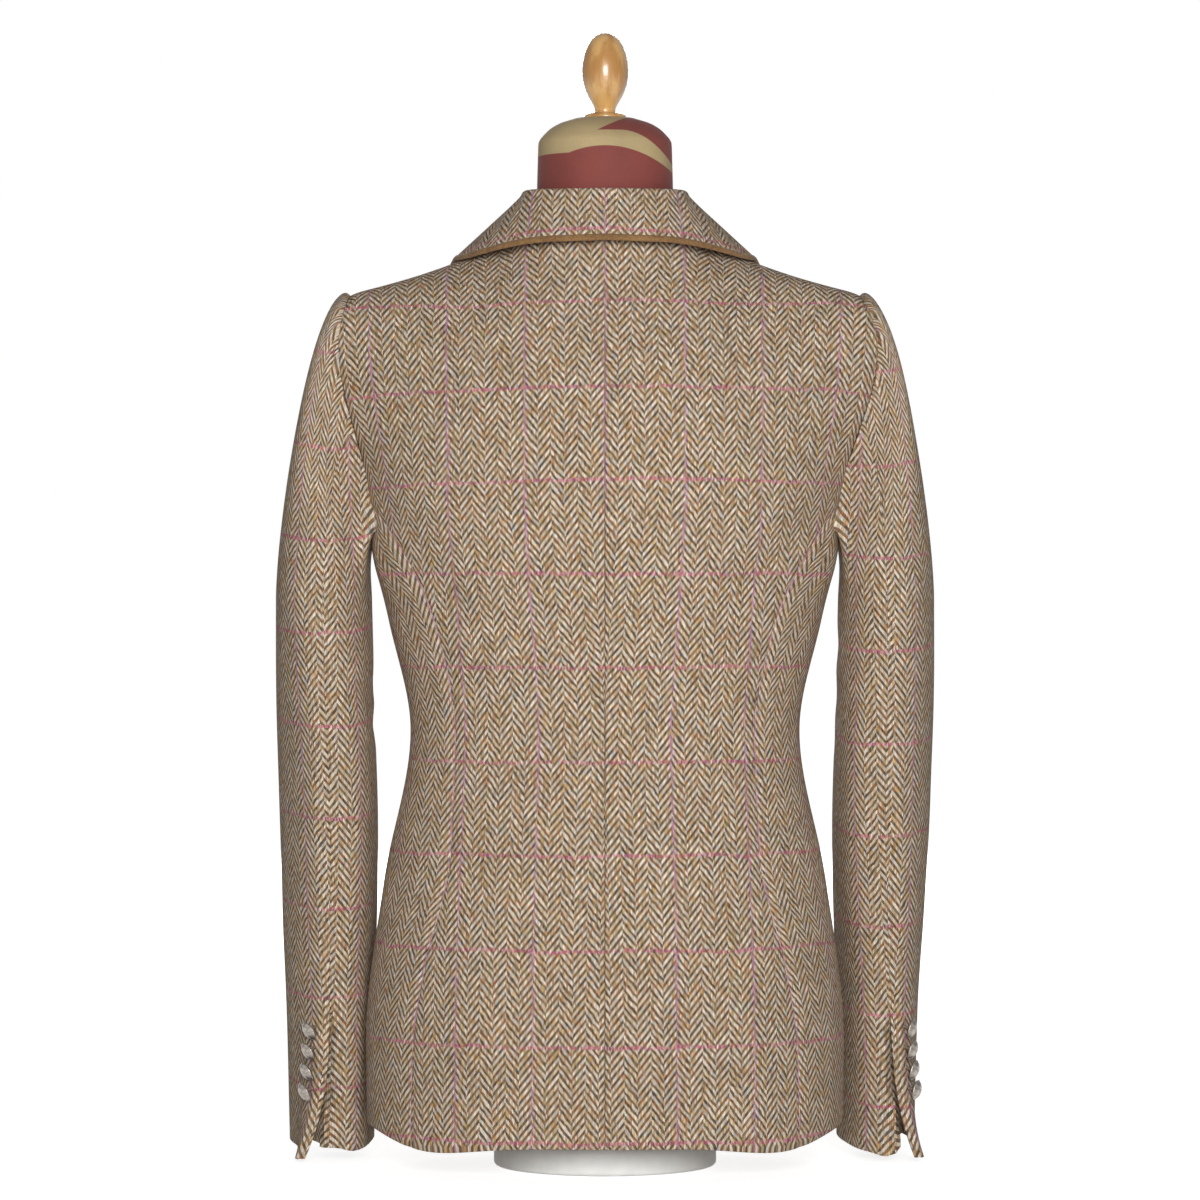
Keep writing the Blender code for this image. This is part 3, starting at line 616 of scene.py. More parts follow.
# %% [markdown]
# Folds
#
# Cloth that hangs on a firm form keeps only a few soft folds: drags towards the armholes, slack above
# the waist, waves at the hem and creases in the crook of each elbow. A physics run would find folds of
# its own, so each one is given here, as a line with a width and a depth. A trough has a
# negative depth. Folds of the body are lines in X and Z on its back or front; those of a sleeve are
# lines in the share round the arm and the height.

# %% Tables of folds
Fold = namedtuple("Fold", "face x0 z0 x1 z1 width depth")
BODY_FOLDS = (
    Fold(1, -0.160, 0.470, -0.075, 0.392, 0.011, -0.0022),
    Fold(1, -0.150, 0.492, -0.060, 0.425, 0.012, 0.0012),
    Fold(1, -0.128, 0.418, -0.060, 0.352, 0.010, -0.0012),
    Fold(1, 0.158, 0.474, 0.098, 0.388, 0.013, -0.0024),
    Fold(1, 0.150, 0.505, 0.080, 0.440, 0.014, 0.0012),
    Fold(1, 0.112, 0.352, 0.040, 0.330, 0.010, -0.0010),
    Fold(1, -0.108, 0.330, -0.030, 0.316, 0.010, -0.0010),
    Fold(1, 0.100, 0.296, 0.028, 0.288, 0.011, -0.0008),
    Fold(1, -0.055, 0.175, -0.070, 0.015, 0.024, -0.0028),
    Fold(1, -0.098, 0.150, -0.112, 0.015, 0.020, 0.0022),
    Fold(1, 0.034, 0.140, 0.040, 0.015, 0.026, -0.0022),
    Fold(1, 0.088, 0.165, 0.104, 0.015, 0.022, 0.0020),
    Fold(1, -0.010, 0.120, -0.014, 0.015, 0.022, 0.0016),
    Fold(1, 0.070, 0.560, 0.150, 0.600, 0.016, 0.0010),
    Fold(1, -0.085, 0.575, -0.150, 0.605, 0.015, -0.0010),
    Fold(1, 0.172, 0.446, 0.160, 0.412, 0.012, 0.0050),
    Fold(1, -0.172, 0.446, -0.160, 0.412, 0.012, 0.0050),
    Fold(-1, 0.016, 0.338, 0.105, 0.385, 0.010, -0.0016),
    Fold(-1, -0.020, 0.336, -0.112, 0.378, 0.010, -0.0018),
    Fold(-1, 0.020, 0.322, 0.110, 0.326, 0.010, -0.0012),
    Fold(-1, -0.024, 0.318, -0.105, 0.312, 0.011, -0.0013),
    Fold(-1, 0.150, 0.480, 0.098, 0.412, 0.013, -0.0022),
    Fold(-1, -0.152, 0.478, -0.090, 0.405, 0.013, -0.0024),
    Fold(-1, 0.060, 0.180, 0.078, 0.020, 0.024, -0.0024),
    Fold(-1, 0.112, 0.150, 0.122, 0.020, 0.020, 0.0020),
    Fold(-1, -0.070, 0.170, -0.082, 0.020, 0.022, -0.0022),
    Fold(-1, -0.118, 0.160, -0.126, 0.020, 0.020, 0.0018),
)
ArmFold = namedtuple("ArmFold", "side share0 z0 share1 z1 width depth")
SLEEVE_FOLDS = (
    ArmFold(1, 0.52, 0.350, 0.74, 0.322, 0.010, -0.0034),
    ArmFold(1, 0.50, 0.318, 0.72, 0.300, 0.009, -0.0030),
    ArmFold(1, 0.56, 0.286, 0.76, 0.272, 0.009, -0.0022),
    ArmFold(1, 0.30, 0.346, 0.50, 0.338, 0.011, -0.0012),
    ArmFold(1, 0.14, 0.470, 0.24, 0.395, 0.013, -0.0016),
    ArmFold(1, 0.22, 0.262, 0.40, 0.240, 0.012, 0.0010),
    ArmFold(1, 0.86, 0.440, 0.92, 0.330, 0.014, -0.0016),
    ArmFold(-1, 0.52, 0.342, 0.73, 0.318, 0.010, -0.0032),
    ArmFold(-1, 0.54, 0.308, 0.75, 0.292, 0.009, -0.0030),
    ArmFold(-1, 0.50, 0.376, 0.66, 0.360, 0.010, -0.0020),
    ArmFold(-1, 0.26, 0.320, 0.48, 0.332, 0.011, -0.0014),
    ArmFold(-1, 0.12, 0.455, 0.26, 0.402, 0.013, -0.0018),
    ArmFold(-1, 0.20, 0.215, 0.38, 0.196, 0.012, -0.0010),
    ArmFold(-1, 0.84, 0.430, 0.94, 0.345, 0.014, -0.0016),
)
print("folds:", len(BODY_FOLDS), "on the body and", len(SLEEVE_FOLDS), "on the sleeves")

# %% [markdown]
# How a fold moves the cloth
#
# A fold is deepest along its own line and dies away to both sides and past its ends. The amounts of
# all folds are added up, and later the cloth is moved by them along its normal. On the body a fold of
# the back must not show through on the front, so it fades out where the body turns away.

# %% Depth of the folds
ARM_ROUND, FOLD_FADE, FOLD_TURN = 0.32, 2.5, 0.050


def fold_depth(x, z, x0, z0, x1, z1, width, depth):
    """How far one fold moves the cloth: full in its middle, fading out along and across its line."""
    length, fade = math.hypot(x1 - x0, z1 - z0), FOLD_FADE * width
    along = ((x - x0) * (x1 - x0) + (z - z0) * (z1 - z0)) / length
    off = ((x - x0) * (z1 - z0) - (z - z0) * (x1 - x0)) / length
    inside = ramp((along + width) / fade) * ramp((length + width - along) / fade)
    return depth * inside * np.exp(-((off / width) ** 2))


def body_folds(points):
    x, y, z = points[..., 0], points[..., 1], points[..., 2]
    moved = np.zeros_like(x)
    for row in BODY_FOLDS:
        moved += ramp(row.face * y / FOLD_TURN) * fold_depth(x, z, *row[1:])
    return moved


def sleeve_folds(share, points, side):
    moved = np.zeros_like(share)
    for row in SLEEVE_FOLDS:
        if row.side == side:
            place = np.mod(share, 1.0) * ARM_ROUND
            ends = (row.share0 * ARM_ROUND, row.z0, row.share1 * ARM_ROUND, row.z1)
            moved += fold_depth(place, points[..., 2], *ends, row.width, row.depth)
    return moved


print("deepest fold:", min(row.depth for row in BODY_FOLDS + SLEEVE_FOLDS), "m")

# %% [markdown]
# Grids of points
#
# A panel is a grid over its surface with a point about every 4 mm. Lengths along its lines give the
# size of the flat cut, its normals say which way is out, and its edges sink a little where a seam
# pulls them in.

# %% Lengths, normals and sunk edges
SEAM_SINK, SEAM_WIDTH = 0.0011, 0.0042


def run(points, axis):
    """The length along the grid's lines, from the first point of each."""
    step = np.linalg.norm(np.diff(points, axis=axis), axis=-1)
    pad = ((0, 0), (1, 0)) if axis == 1 else ((1, 0), (0, 0))
    return np.cumsum(np.pad(step, pad), axis=axis)


def grid_normals(points, outward):
    across = np.gradient(points, axis=1)
    up = np.gradient(points, axis=0)
    normal = unit(np.cross(across, up))
    facing = (normal * outward).sum()
    return normal if facing > 0 else -normal


def sunk_edges(points, edges, depth=SEAM_SINK, width=SEAM_WIDTH):
    across, up = run(points, 1), run(points, 0)
    away = {"first": across, "last": across[:, -1:] - across, "low": up, "high": up[-1:] - up}
    near = np.min([away[edge] for edge in edges], axis=0)
    return -depth * np.exp(-((near / width) ** 2))


def mirrored(points, side):
    return points * np.array((side, 1.0, 1.0))


print("seams sink by", SEAM_SINK, "m")

# %% [markdown]
# From a surface to a piece of cloth
#
# A UV map in metres records where each point lay in the flat cut, so that the weave runs along the
# grain. Solidify gives the cloth its thickness, inwards, and a small bevel rounds the cut edges. Each
# piece takes the place of its CAD node and rides on the one body of this model.

# %% Panel maker
CLOTH, EDGE_ROUND, EDGE_STEPS, EDGE_ANGLE = 0.0020, 0.0006, 2, 50.0
cloth_pieces = []


def in_scene(name, data):
    """A new object in the scene, for a mesh, a lamp or a camera."""
    thing = bpy.data.objects.new(name, data)
    bpy.context.scene.collection.objects.link(thing)
    return thing


def stands_for(piece, node):
    """Puts a piece in the place of its CAD node."""
    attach(piece, "root")
    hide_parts(node)


def cloth_mesh(name, points, outward, u, v):
    rows, columns = points.shape[:2]
    index = np.arange(rows * columns).reshape(rows, columns)
    corners = (index[:-1, :-1], index[:-1, 1:], index[1:, 1:], index[1:, :-1])
    quads = np.stack(corners, -1).reshape(-1, 4)
    flat = points.reshape(-1, 3)
    turn = np.cross(flat[quads[:, 1]] - flat[quads[:, 0]], flat[quads[:, 3]] - flat[quads[:, 0]])
    middle = outward.reshape(-1, 3)[quads[:, 0]]
    if (turn * middle).sum() < 0:
        quads = quads[:, ::-1]
    mesh = bpy.data.meshes.new(name)
    mesh.from_pydata(flat.tolist(), [], quads.tolist())
    layer = mesh.uv_layers.new(name="cloth")
    layer.data.foreach_set("uv", np.stack((u, v), -1).reshape(-1, 2)[quads.ravel()].ravel())
    mesh.shade_smooth()
    return mesh


def sewn(node, points, outward, u, v):
    """A panel as an object that stands for its CAD node, with thickness and rounded edges."""
    name = f"{node}_cloth"
    piece = in_scene(name, cloth_mesh(name, points, outward, u, v))
    solid = piece.modifiers.new("thickness", "SOLIDIFY")
    solid.thickness = CLOTH
    solid.offset = -1.0
    soft = piece.modifiers.new("edges", "BEVEL")
    soft.width = EDGE_ROUND
    soft.segments = EDGE_STEPS
    soft.limit_method = "ANGLE"
    soft.angle_limit = math.radians(EDGE_ANGLE)
    stands_for(piece, node)
    cloth_pieces.append(piece)
    return piece


print("cloth", CLOTH, "m thick")

# %% [markdown]
# The flat cut
#
# A cutter needs to know how much cloth each panel takes. Its width and length are the same lengths that
# place the weave.


# %% [markdown]
# The grain of the body
#
# The weave must run straight up the cloth and its lines must meet across the seams. So the length up
# is measured along the centre seam for all panels below the chest, and along each column above it,
# where the panels bend over to the shoulder. The length across is measured as if each row were level.

# %% Grids of the body
LOW_ROWS, HIGH_ROWS = 112, 48
SEAM_TRIM, SHOULDER_TRIM = 0.0001, 0.003
HEM_SINK, HEM_SINK_WIDTH = 0.0008, 0.0030
AXIS_SLOPE, AXIS_HEIGHT = 0.2, 0.3
body_rows = np.concatenate((
    np.linspace(0.0, 1.0, LOW_ROWS, endpoint=False),
    np.linspace(1.0, 2.0 - SHOULDER_TRIM, HIGH_ROWS + 1),
))
side_rows = np.linspace(0.0, 1.0, LOW_ROWS + 1)


def shares(columns, rows, trim=SEAM_TRIM):
    return np.meshgrid(np.linspace(trim, 1.0 - trim, columns + 1), rows)


def from_axis(points):
    """The way out from the body's axis, upwards above its middle and downwards below it."""
    x, y, z = points[..., 0], points[..., 1], points[..., 2]
    return xyz(x, y, AXIS_SLOPE * (z - AXIS_HEIGHT))


def level_run(points, up):
    """Length across, as if each row were level, flattening out towards the shoulder."""
    level = points.copy()
    level[..., 1] *= np.clip(2.0 - up, 0.0, 1.0)
    level[..., 2] = 0.0
    return run(level, 1)


def centre_length(height):
    """Length of cloth up the centre seam to a height, from the chest, so that pane lines run level."""
    across, up = np.zeros(LOW_ROWS + 1), np.linspace(0.0, 1.0, LOW_ROWS + 1)
    seam = back_point(across, up)[None]
    length = run(seam, 1)[0]
    return np.interp(height, seam[0, :, 2], length - length[-1])


def grain_length(points):
    """Length up the cloth: level below the chest, and along each column above it."""
    above = run(points, 0) - run(points, 0)[LOW_ROWS]
    return np.where(points[..., 2] < CHEST, centre_length(points[..., 2]), np.maximum(above, 0.0))


def sew_body(node, side, points, u, v, seams, hem=True):
    points = mirrored(points, side)
    outward = grid_normals(points, from_axis(points))
    moved = body_folds(points) + sunk_edges(points, seams)
    if hem:
        moved += sunk_edges(points, ("low",), HEM_SINK, HEM_SINK_WIDTH)
    sewn(node, points + outward * long(moved), outward, u * side, v)


print("body grid:", len(body_rows), "rows")

# %% [markdown]
# Back panels
#
# The back's weave is set from the centre seam: the seam takes cloth in at the waist, so the columns of
# the weave stay upright and are cut off along it. Above the chest the columns come from two different
# curves, to the neck and to the shoulder, and are evened out so that no crease marks the change.

# %% Back panels
BACK_COLUMNS = 44
EVEN_OVER, EVEN_FROM, EVEN_TO = 6, 0.15, 0.22
PANE_DROOP, DROOP_FROM, DROOP_RISE = {1: 0.036, -1: 0.014}, 0.43, 0.08
TakeIn = namedtuple("TakeIn", "height amount")
CENTRE_SEAM = (
    TakeIn(0.020, 0.0050),
    TakeIn(0.150, 0.0060),
    TakeIn(0.312, 0.0095),
    TakeIn(0.420, 0.0030),
    TakeIn(0.475, 0.0000),
)


def smoothed(points, up):
    """Points above the chest evened out along their rows, but not at the chest or at the top seam."""
    reach = np.arange(-3 * EVEN_OVER, 3 * EVEN_OVER + 1)
    weight = np.exp(-0.5 * (reach / EVEN_OVER) ** 2)
    count = points.shape[1]
    at = np.arange(count)[:, None] + reach[None]
    inside = np.abs((at + count - 1) % (2 * count - 2) - count + 1)
    ends = np.where(at < 0, 0, count - 1)
    whole = ((at >= 0) & (at < count))[None, :, :, None]
    near = np.where(whole, points[:, inside], 2.0 * points[:, ends] - points[:, inside])
    even = (near * (weight / weight.sum())[None, None, :, None]).sum(2)
    return mix(points, even, long(ramp((up - 1.0) / EVEN_FROM) * ramp((2.0 - up) / EVEN_TO)))


for side, word in SIDES:
    across, up = shares(BACK_COLUMNS, body_rows)
    points = smoothed(back_point(across, up, side), up)
    seam_height = points[:, :1, 2]
    u = level_run(points, up) + table(CENTRE_SEAM, seam_height, "amount") * (seam_height < CHEST)
    droop = PANE_DROOP[side] * u * ramp((points[..., 2] - DROOP_FROM) / DROOP_RISE)
    v = grain_length(points) + droop
    sew_body(f"back_{word}", side, points, u, v, ("first", "last", "high"))

# %% [markdown]
# Side panels
#
# The side body is the panel under the arm, between back and front, and its upper edge is the lower part
# of the armhole. It could share one grid with the back, but it is cut on its own with a straight grain,
# so the weave breaks along the side seams, while the lines across still meet those of the back.

# %% Side panels
SIDE_COLUMNS = 34
for side, word in SIDES:
    points = side_point(*shares(SIDE_COLUMNS, side_rows))
    u, v = run(points, 1), centre_length(points[..., 2])
    sew_body(f"side_{word}", side, points, u, v, ("first", "last", "high"))

# %% [markdown]
# Front panels
#
# The fronts close in the middle, the right over the left. They could be dressed up with flaps and
# darts, but nothing of that is known here, so they are finished plainly, with the grain along the front
# edge. Only the side and shoulder seams sink: the front edge and the rounded corner lie free.

# %% Front panels
FRONT_COLUMNS = 48
for side, word in SIDES:
    across, up = shares(FRONT_COLUMNS, body_rows)
    points = front_point(across, up, side)
    u, v = level_run(points, up) + points[:, :1, 0], grain_length(points)
    sew_body(f"front_{word}", side, points, u, v, ("last", "high"), hem=False)

# %% [markdown]
# Lapels
#
# A lapel is the turned-back top of a front, with the facing outside. It could be part of the front's
# grid, but the facing is a cloth of its own with its own grain. A tailor lets that follow the outer
# edge, so the length across is measured from there.

# %% Lapels
LAPEL_COLUMNS, LAPEL_ROWS = 30, 64
for side, word in SIDES:
    across, up = shares(LAPEL_COLUMNS, np.linspace(0.0, 1.0, LAPEL_ROWS + 1), 0.0)
    points = lapel_point(across, up, side)
    u, v = run(points, 1) - run(points, 1)[:, -1:], run(points, 0)
    points = mirrored(points, side)
    outward = grid_normals(points, np.broadcast_to((0.0, -1.0, 0.0), points.shape))
    sewn(f"lapel_{word}", points, outward, u * side, v)

# %% [markdown]
# Collar
#
# The collar is sewn in one, stand and fall together, so one grid runs from end to end and over the
# fold. Its weave is centred on the back seam, as a tailor matches it, and measured up from its leaf
# edge, so that one pane line runs just above the edge.

# %% Collar
COLLAR_COLUMNS, COLLAR_ROWS, COLLAR_PANE = 150, 40, 0.0200
across, over = shares(COLLAR_COLUMNS, np.linspace(0.0, 1.0, COLLAR_ROWS + 1), 0.0)
collar_points = collar_point(across, over)
collar_u = run(collar_points, 1) - run(collar_points, 1)[:, COLLAR_COLUMNS // 2][:, None]
collar_v = run(collar_points, 0) - run(collar_points, 0)[-1:] + COLLAR_PANE
away = collar_points * np.array((1.0, 1.0, 0.0)) * long(over > STAND_SHARE + FOLD_SHARE)
collar = sewn("collar", collar_points, grid_normals(collar_points, away), collar_u, collar_v)
print("collar faces:", len(collar.data.polygons))

# %% [markdown]
# Collar piping
#
# A round suede piping is sewn all along the collar's leaf edge. A curve with a bevel would do, but its
# section has to follow the slant of the leaf, so the tube is laid ring by ring. It is cut and sewn with
# the collar.

# %% Collar piping
PIPING_WIDTH, PIPING_THICK, PIPING_SINK, PIPING_HANG = 0.0052, 0.0032, 0.0010, 0.42
PIPING_STEPS = 14


def tube_mesh(name, points):
    """A tube through rings of points, closed at both ends."""
    index = np.arange(points.shape[0] * points.shape[1]).reshape(points.shape[:2])
    after = np.roll(index, -1, axis=1)
    quads = np.stack((index[:-1], after[:-1], after[1:], index[1:]), -1).reshape(-1, 4).tolist()
    ends = [index[0].tolist()[::-1], index[-1].tolist()]
    mesh = bpy.data.meshes.new(name)
    mesh.from_pydata(points.reshape(-1, 3).tolist(), [], quads + ends)
    return mesh


def face_outwards(piece):
    """Selects one piece alone and turns all its faces outwards."""
    bpy.ops.object.select_all(action="DESELECT")
    piece.select_set(True)
    bpy.context.view_layer.objects.active = piece
    bpy.ops.object.mode_set(mode="EDIT")
    bpy.ops.mesh.select_all(action="SELECT")
    bpy.ops.mesh.normals_make_consistent(inside=False)
    bpy.ops.object.mode_set(mode="OBJECT")


def piping_rings():
    across = np.linspace(0.0, 1.0, COLLAR_COLUMNS + 1)
    _, _, outer, leaf, _ = collar_frame(np.abs(2.0 * across - 1.0))
    flip = xyz(np.where(across < 0.5, -1.0, 1.0), 1.0, 1.0)
    outer, leaf = outer * flip, leaf * flip
    fall = unit(leaf - outer)
    normal = unit(np.cross(fall, unit(np.gradient(leaf, axis=0))))
    normal *= np.sign((normal * leaf * np.array((1.0, 1.0, 0.0))).sum(-1, keepdims=True))
    centre = leaf + fall * (PIPING_HANG * PIPING_WIDTH) - normal * PIPING_SINK
    turn = np.linspace(0.0, 2.0 * np.pi, PIPING_STEPS, endpoint=False)[None, :, None]
    wide, thick = PIPING_WIDTH * np.cos(turn), PIPING_THICK * np.sin(turn)
    return centre[:, None] + 0.5 * (wide * fall[:, None] + thick * normal[:, None])


piping = in_scene("collar_piping_suede", tube_mesh("collar_piping_suede", piping_rings()))
face_outwards(piping)
bpy.ops.object.shade_smooth()
stands_for(piping, "collar_piping")

# %% [markdown]
# The weave over a sleeve's cap
#
# On the arm the weave can follow the lengths along the grid. Over the cap the cloth is eased in and the
# grid's lines fan out, so there each step up a column is split into a level and an uphill part, and
# both are added up from the arm upwards.

# %% Weave of the caps
CAP_ROWS = 52
TOP_LEAN, TOP_SHARE, UNDER_SHARE, SHARE_FADE = 1.1, 0.07, 0.27, 0.08


def off_top(share):
    """How far round the arm from its uppermost line: 0 there and a half under the arm."""
    return np.abs(np.mod(share + 0.5, 1.0) - 0.5)


def cap_weave(points, outward, share, u, v):
    """Takes the weave of the arm on over the cap, by changing the lengths u and v of its rows."""
    grain = xyz(-TOP_LEAN * ramp(1.0 - off_top(share) / TOP_SHARE), 0.0, 1.0)
    round_arm = xyz(np.cos(2.0 * np.pi * share), np.sin(2.0 * np.pi * share), 0.0)
    under = long(ramp((off_top(share) - UNDER_SHARE) / SHARE_FADE))
    level = unit(np.cross(grain, outward + round_arm * under))
    uphill = unit(np.cross(outward, level))
    step = np.diff(points[:CAP_ROWS + 1], axis=0)
    for flat, way in ((u, level), (v, uphill)):
        amount = (step * unit(way[:CAP_ROWS] + way[1:CAP_ROWS + 1])).sum(-1)
        flat[:CAP_ROWS] = flat[CAP_ROWS] - np.cumsum(amount[::-1], axis=0)[::-1]


print("rows over a cap:", CAP_ROWS)

# %% [markdown]
# Sleeves
#
# Each sleeve is cut in two: a wide top sleeve that shows from the side and a narrower under sleeve
# towards the body. One tube would be simpler, but the two seams and the vent between the pieces show.
# Their columns stand closer together at the seams, where the arm turns most. The weave follows the
# plain sleeve, and the vent only carries it along.

# %% Sleeve panels
ARM_ROWS, EDGE_EASE = 98, 0.60
CAP_SINK, CAP_SINK_WIDTH, CAP_SINK_SHARE = 0.0016, 0.0032, 0.36
ARM_SEAM_SINK, ARM_SEAM_WIDTH, ARM_SEAM_FADE = 0.0008, 0.0032, 0.02
PANE_RISE = {1: 0.0330, -1: 0.0460}
sleeve_rows = np.concatenate((
    np.linspace(0.0, 1.0, CAP_ROWS, endpoint=False),
    np.linspace(1.0, 2.0, ARM_ROWS + 1),
))
SleeveCut = namedtuple("SleeveCut", "surface first last columns grain")
SLEEVE_CUTS = {
    "top_sleeve": SleeveCut(top_sleeve_point, FORE_SEAM - 1.0, HIND_SEAM, 56, 0.54),
    "under_sleeve": SleeveCut(under_sleeve_point, HIND_SEAM, FORE_SEAM, 44, 0.35),
}


def eased(share):
    return share - EDGE_EASE * np.sin(2.0 * np.pi * share) / (2.0 * np.pi)


def sew_sleeve(piece, side, word):
    """One of a sleeve's two pieces, with its weave, sunk seams and folds."""
    cut = SLEEVE_CUTS[piece]
    across, down = shares(cut.columns, sleeve_rows, 0.0)
    across = mix(SEAM_TRIM, 1.0 - SEAM_TRIM, eased(across))
    points = cut.surface(across, down, side)
    share = mix(cut.first, cut.last, across)
    plain = sleeve_point(share, down, side)
    u = run(plain, 1) - run(plain, 1)[:, int(cut.grain * cut.columns)][:, None]
    v = run(plain, 0)[CAP_ROWS] - run(plain, 0) + PANE_RISE[side]
    if piece == "under_sleeve":
        stretch = np.gradient(u, axis=1) / np.gradient(across, axis=1)
        u += (tucked_under(across, plain) - across) * stretch
    above = xyz(0.0, 0.0, np.maximum(0.0, points[..., 2] - BICEPS))
    outward = grid_normals(points, points - sleeve_centre(points[..., 2]) + above)
    cap_weave(points, outward, share, u, v)
    cap = sunk_edges(points, ("low",), CAP_SINK, CAP_SINK_WIDTH)
    seam = sunk_edges(points, ("first", "last"), ARM_SEAM_SINK, ARM_SEAM_WIDTH)
    moved = cap * ramp((CAP_SINK_SHARE - off_top(share)) / SHARE_FADE)
    moved += sleeve_folds(share, points, side)
    moved += seam * ramp((points[..., 2] - VENT_TOP) / ARM_SEAM_FADE)
    points = points + outward * long(moved)
    made = sewn(f"{piece}_{word}", mirrored(points, side), mirrored(outward, side), u * side, v)


for side, word in SIDES:
    sew_sleeve("top_sleeve", side, word)
    sew_sleeve("under_sleeve", side, word)

# %% [markdown]
# The dress form
#
# The form is a smooth limbless torso with a straight neck and a domed cap, and the jacket hides most of
# it. It could be a subdivided cage, but lofted through the same sections as its solid, only finer, it
# is sure to stay inside the cloth. It is closed at both ends.

# %% Form body
FORM = (
    Section(0.050, 0.1580, 0.112, 0.108, 2.12),
    Section(0.090, 0.1600, 0.114, 0.111, 2.12),
    Section(0.204, 0.1470, 0.102, 0.106, 2.12),
    Section(0.312, 0.1290, 0.082, 0.098, 2.05),
    Section(0.391, 0.1440, 0.093, 0.117, 2.05),
    Section(0.450, 0.1560, 0.102, 0.129, 2.10),
    Section(0.510, 0.1590, 0.100, 0.118, 2.10),
    Section(0.560, 0.1580, 0.092, 0.092, 1.95),
    Section(0.595, 0.1500, 0.080, 0.070, 1.75),
    Section(0.620, 0.1320, 0.068, 0.056, 1.45),
    Section(0.640, 0.0935, 0.058, 0.050, 1.20),
    Section(0.656, 0.0570, 0.051, 0.0485, 1.55),
    Section(0.672, 0.0500, 0.048, 0.0480, 2.00),
    Section(0.720, 0.0485, 0.0475, 0.0475, 2.00),
    Section(0.734, 0.0480, 0.0470, 0.0470, 2.00),
    Section(0.742, 0.0425, 0.0418, 0.0418, 2.00),
    Section(0.748, 0.0340, 0.0335, 0.0335, 2.00),
    Section(0.752, 0.0220, 0.0217, 0.0217, 2.00),
)
FORM_STEPS, FORM_ROWS, NECK_ROWS, NECK_FROM, SOFT_ANGLE = 96, 110, 60, 0.660, 40.0
low = np.linspace(FORM[0].height, NECK_FROM, FORM_ROWS, endpoint=False)
high = np.linspace(NECK_FROM, FORM[-1].height, NECK_ROWS)
turns = np.linspace(0.0, 2.0 * np.pi, FORM_STEPS, endpoint=False)
form_points = ring_point(FORM, *np.meshgrid(turns, np.concatenate((low, high))))
form = in_scene("form_cover", tube_mesh("form_cover", form_points))
face_outwards(form)
bpy.ops.object.shade_smooth_by_angle(angle=math.radians(SOFT_ANGLE))
stands_for(form, "form_body")
print("form faces:", len(form.data.polygons))

# %% [markdown]
# Turned and stamped pieces
#
# The finial and its flange are turned on a lathe, and a shank button is stamped from sheet metal. All
# are round, so a profile says everything: each row is a ring's radius and height, from the bottom up.

# %% Profiles of the round pieces
Turned = namedtuple("Turned", "radius height")
FLANGE = (
    Turned(0.0150, 0.7523),
    Turned(0.0154, 0.7532),
    Turned(0.0150, 0.7543),
    Turned(0.0136, 0.7553),
    Turned(0.0112, 0.7562),
)
FINIAL = (
    Turned(0.0076, 0.7563),
    Turned(0.0073, 0.7578),
    Turned(0.0078, 0.7600),
    Turned(0.0100, 0.7640),
    Turned(0.0122, 0.7678),
    Turned(0.0142, 0.7722),
    Turned(0.0157, 0.7770),
    Turned(0.0166, 0.7822),
    Turned(0.0168, 0.7875),
    Turned(0.0163, 0.7930),
    Turned(0.0150, 0.7988),
    Turned(0.0131, 0.8040),
    Turned(0.0104, 0.8085),
    Turned(0.0074, 0.8115),
    Turned(0.0040, 0.8133),
    Turned(0.0014, 0.8139),
)
BUTTON = (
    Turned(0.0013, 0.0000),
    Turned(0.0011, 0.0020),
    Turned(0.0013, 0.0046),
    Turned(0.0056, 0.0050),
    Turned(0.0070, 0.0054),
    Turned(0.0074, 0.0060),
    Turned(0.0073, 0.0065),
    Turned(0.0069, 0.0068),
    Turned(0.0066, 0.0070),
    Turned(0.0056, 0.0080),
    Turned(0.0041, 0.0089),
    Turned(0.0023, 0.0095),
    Turned(0.0008, 0.0097),
)
print("rings:", len(FLANGE), "of the flange,", len(FINIAL), "of the finial,", len(BUTTON), "of a button")

# %% [markdown]
# Growing a round piece
#
# A profile could be spun round an axis in one go, but a learner sees more by growing the piece: start
# with a small disc, then extrude it up and scale the new ring, again and again, as the table says.

# %% Round pieces by extruding rings
TURNED_SIDES, TURNED_ANGLE = 64, 50.0


def grown(name, rows, vertices, smooth):
    """A round piece grown ring by ring from a disc, smooth but for its sharp turns."""
    bpy.ops.object.select_all(action="DESELECT")
    start = rows[0]
    bpy.ops.mesh.primitive_circle_add(
        vertices=vertices, radius=start.radius, fill_type="NGON", location=(0.0, 0.0, start.height)
    )
    piece = bpy.context.active_object
    piece.name = name
    piece.data.name = name
    bpy.ops.object.transform_apply(location=True, rotation=True, scale=True)
    bpy.ops.object.mode_set(mode="EDIT")
    bpy.ops.mesh.select_all(action="SELECT")
    for before, after in zip(rows, rows[1:]):
        rise = (0.0, 0.0, after.height - before.height)
        bpy.ops.mesh.extrude_region_move(TRANSFORM_OT_translate={"value": rise})
        grow = after.radius / before.radius
        bpy.ops.transform.resize(value=(grow, grow, 1.0), center_override=(0.0, 0.0, after.height))
    bpy.ops.object.mode_set(mode="OBJECT")
    face_outwards(piece)
    bpy.ops.object.shade_smooth_by_angle(angle=math.radians(smooth))
    return piece


finial = grown("finial_turning", FINIAL, TURNED_SIDES, TURNED_ANGLE)
flange = grown("flange_turning", FLANGE, TURNED_SIDES, TURNED_ANGLE)
stands_for(finial, "form_finial")
stands_for(flange, "form_flange")
print("finial top:", round(max(v.co.z for v in finial.data.vertices), 4))

